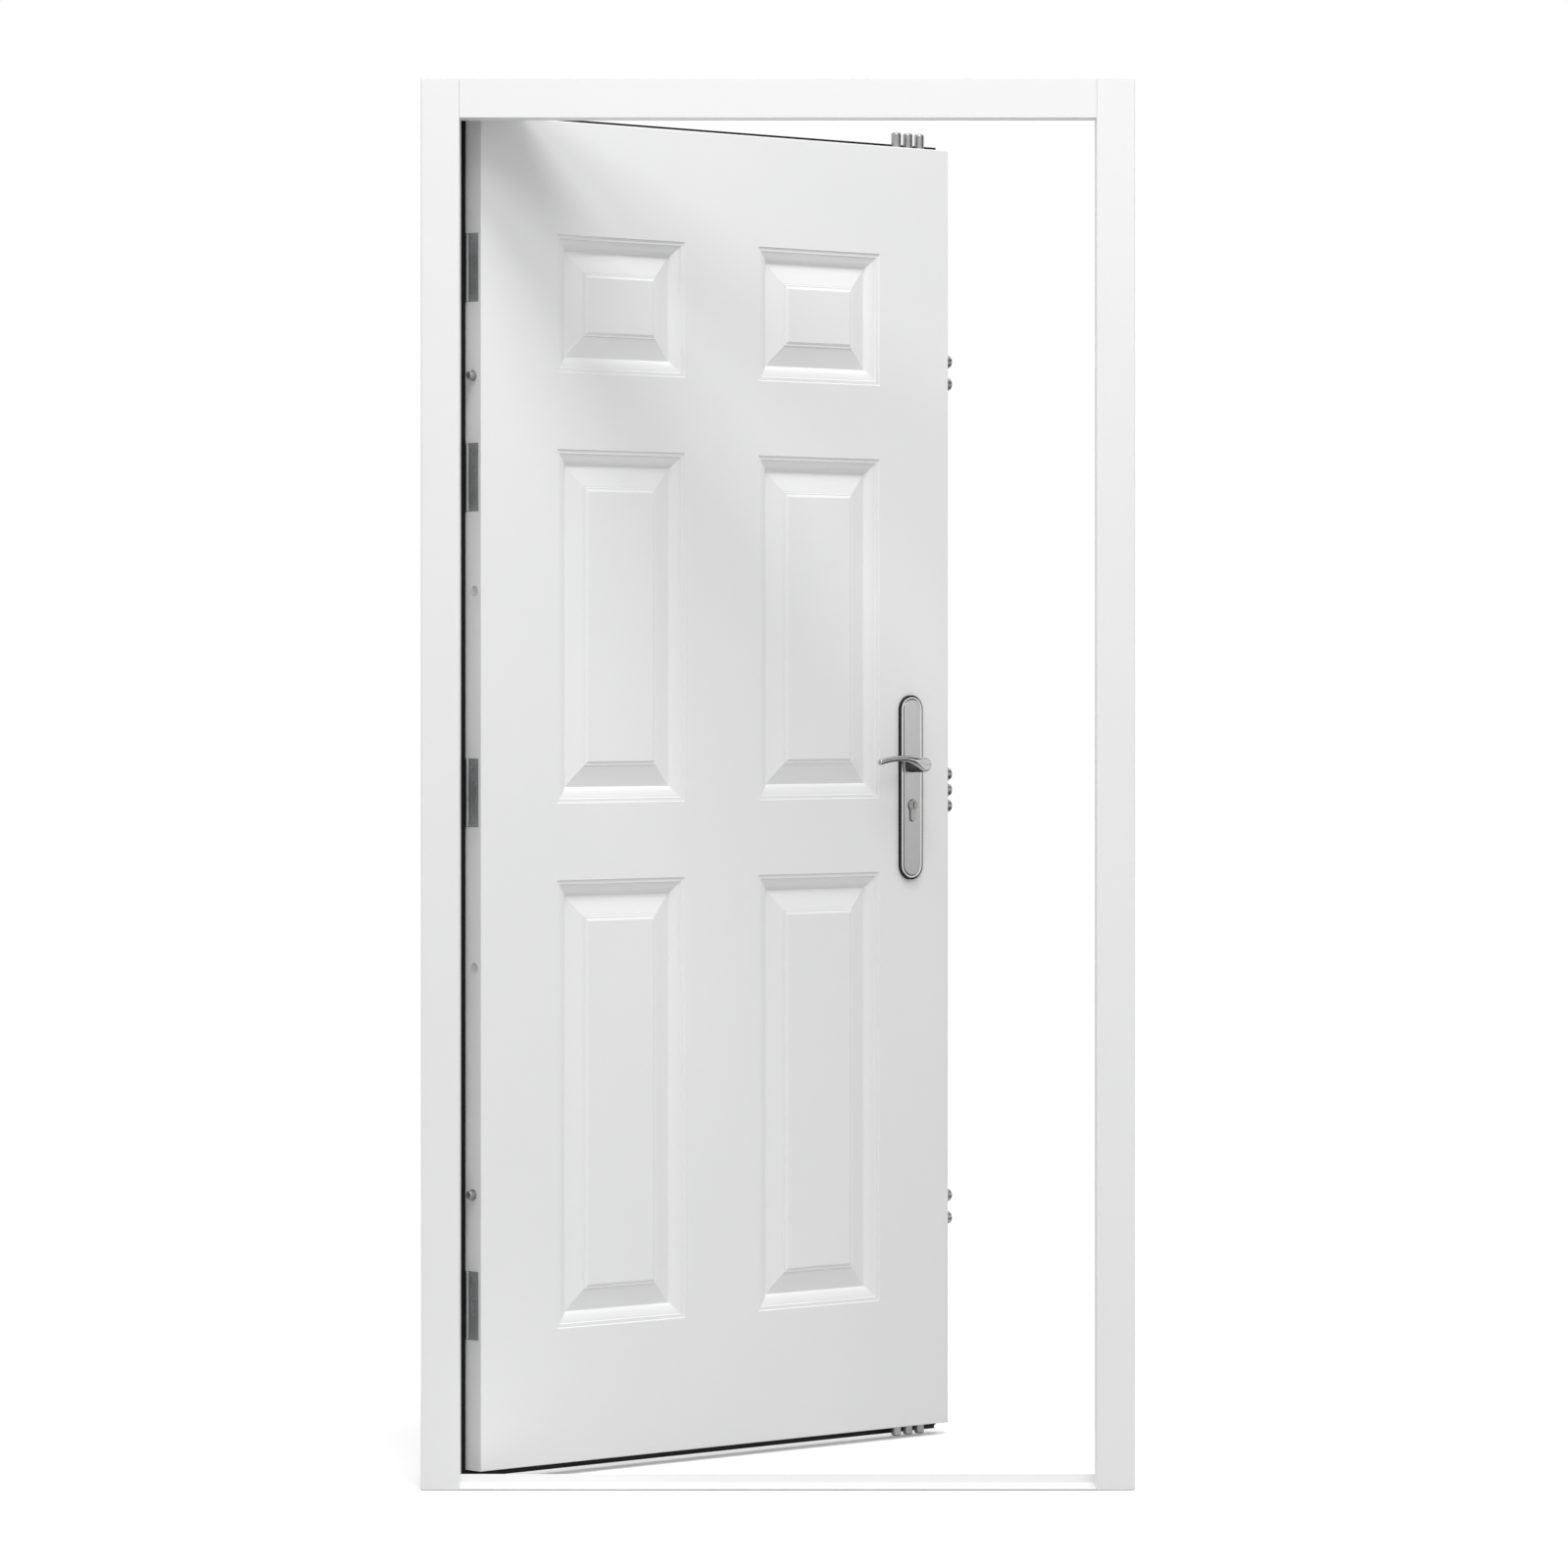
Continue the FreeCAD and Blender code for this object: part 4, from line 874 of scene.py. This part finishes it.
mount(cylinder, "leaf", cylinderNickel, "lock_cylinder")
print("handle set built")
for node, material in (("core", corePaper), ("lever_spindle", zincPlate)):
    slots = frame["nodes"][node].data.materials
    slots.clear()
    slots.append(material)
print("fittings dressed")


# Camera, light and floor
cameraDesign = {"distance": 9.18, "height": 1.1496, "lens": 147.6, "shift": (0.0039, -0.0632)}
cameraData = bpy.data.cameras.new("doorCamera")
cameraData.lens = cameraDesign["lens"]
cameraData.shift_x, cameraData.shift_y = cameraDesign["shift"]
cameraData.clip_end = 100
camera = bpy.data.objects.new("doorCamera", cameraData)
camera.location = (0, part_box("hinge_jamb")[0].y - cameraDesign["distance"], cameraDesign["height"])
camera.rotation_euler = (math.pi / 2, 0, 0)
scene.collection.objects.link(camera)
scene.camera = camera

lampDesign = {
    "frontLamp": {"place": (0.8, -3.4, 4.9), "aim": (0, 0, 1), "size": 1.4, "power": 43},
    "topLamp": {"place": (0.3, -1.9, 6.2), "aim": (0, 0, 1), "size": 1.5, "power": 156},
    # A small low one lifts the leaf's bottom corner at the hinges
    "cornerLamp": {"place": (-0.28, -0.2, 0.05), "aim": (-0.42, 0.06, 0.03), "size": 0.15,
                   "power": 0.06},
}
for name, design in lampDesign.items():
    lampData = bpy.data.lights.new(name, "AREA")
    lampData.size = design["size"]
    lampData.energy = design["power"]
    lamp = bpy.data.objects.new(name, lampData)
    lamp.location = design["place"]
    aim = Vector(design["aim"]) - lamp.location
    lamp.rotation_euler = aim.to_track_quat("-Z", "Y").to_euler()
    lamp.visible_camera = False
    scene.collection.objects.link(lamp)

# Dark cards that only polished metal shows, one above the camera's line and one below it
cardDesign = {
    "highCard": {"place": (2.8, 0.5, 2.7), "size": (1.7, 2.6), "tilt": 90},
    "lowCard": {"place": (2.1, 0.5, 0.03), "size": (2.4, 2.6), "tilt": 0},
}
cardMaterial = newMaterial("studioCard", (0.015, 0.015, 0.015), 0.9)[0]
for name, design in cardDesign.items():
    bpy.ops.object.select_all(action="DESELECT")
    bpy.ops.mesh.primitive_plane_add(size=1, location=design["place"],
                                     rotation=(0, math.radians(design["tilt"]), 0))
    card = newest(name)
    card.scale = (*design["size"], 1)
    settle(card)
    card.data.materials.append(cardMaterial)
    card.visible_camera = False
    card.visible_diffuse = False
    card.visible_transmission = False
    card.visible_shadow = False


# 1 where the camera, a mirror or glass looks, and 0 for all other rays
def addSeen(tree):
    path = tree.nodes.new("ShaderNodeLightPath")
    seen = path.outputs["Is Camera Ray"]
    for ray in ("Is Glossy Ray", "Is Transmission Ray"):
        either = tree.nodes.new("ShaderNodeMath")
        either.operation = "MAXIMUM"
        tree.links.new(seen, either.inputs[0])
        tree.links.new(path.outputs[ray], either.inputs[1])
        seen = either.outputs[0]
    return seen


worldDesign = {"low": 0.05, "high": 1.05, "background": 1.0}
world = bpy.data.worlds.new("studio")
scene.world = world
world.use_nodes = True
tree = world.node_tree
tree.nodes.clear()
coords = tree.nodes.new("ShaderNodeTexCoord")
split = tree.nodes.new("ShaderNodeSeparateXYZ")
height = tree.nodes.new("ShaderNodeMapRange")
height.inputs["From Min"].default_value = -1
height.inputs["To Min"].default_value = worldDesign["low"]
height.inputs["To Max"].default_value = worldDesign["high"]
strength = tree.nodes.new("ShaderNodeMix")
strength.inputs["B"].default_value = worldDesign["background"]
background = tree.nodes.new("ShaderNodeBackground")
background.inputs["Color"].default_value = (1, 1, 1, 1)
output = tree.nodes.new("ShaderNodeOutputWorld")
tree.links.new(coords.outputs["Generated"], split.inputs[0])
tree.links.new(split.outputs["Z"], height.inputs["Value"])
tree.links.new(addSeen(tree), strength.inputs["Factor"])
tree.links.new(height.outputs["Result"], strength.inputs["A"])
tree.links.new(strength.outputs["Result"], background.inputs["Strength"])
tree.links.new(background.outputs[0], output.inputs[0])

floorDesign = {"size": 60, "colour": 0.45, "seenColour": 0.95, "glow": 0.18}
bpy.ops.object.select_all(action="DESELECT")
bpy.ops.mesh.primitive_plane_add(size=floorDesign["size"], location=(0, 0, -0.001))
studioFloor = newest("studioFloor")
floorMaterial, floorShader = newMaterial("studioFloor", (floorDesign["colour"],) * 3, 0.9)
floorShader.inputs["Emission Color"].default_value = (1, 1, 1, 1)
floorTree = floorMaterial.node_tree
floorGlow = addNode(floorMaterial, "ShaderNodeMath", operation="MULTIPLY")
floorGlow.inputs[1].default_value = floorDesign["glow"]
floorTree.links.new(addSeen(floorTree), floorGlow.inputs[0])
floorShade = addNode(floorMaterial, "ShaderNodeMapRange")
floorShade.inputs["To Min"].default_value = floorDesign["colour"]
floorShade.inputs["To Max"].default_value = floorDesign["seenColour"]
floorPath = addNode(floorMaterial, "ShaderNodeLightPath")
floorTree.links.new(floorPath.outputs["Is Camera Ray"], floorShade.inputs["Value"])
floorTree.links.new(floorShade.outputs["Result"], floorShader.inputs["Base Color"])
floorTree.links.new(floorGlow.outputs[0], floorShader.inputs["Emission Strength"])
studioFloor.data.materials.append(floorMaterial)
scene.view_settings.view_transform = "Standard"
print("studio set")
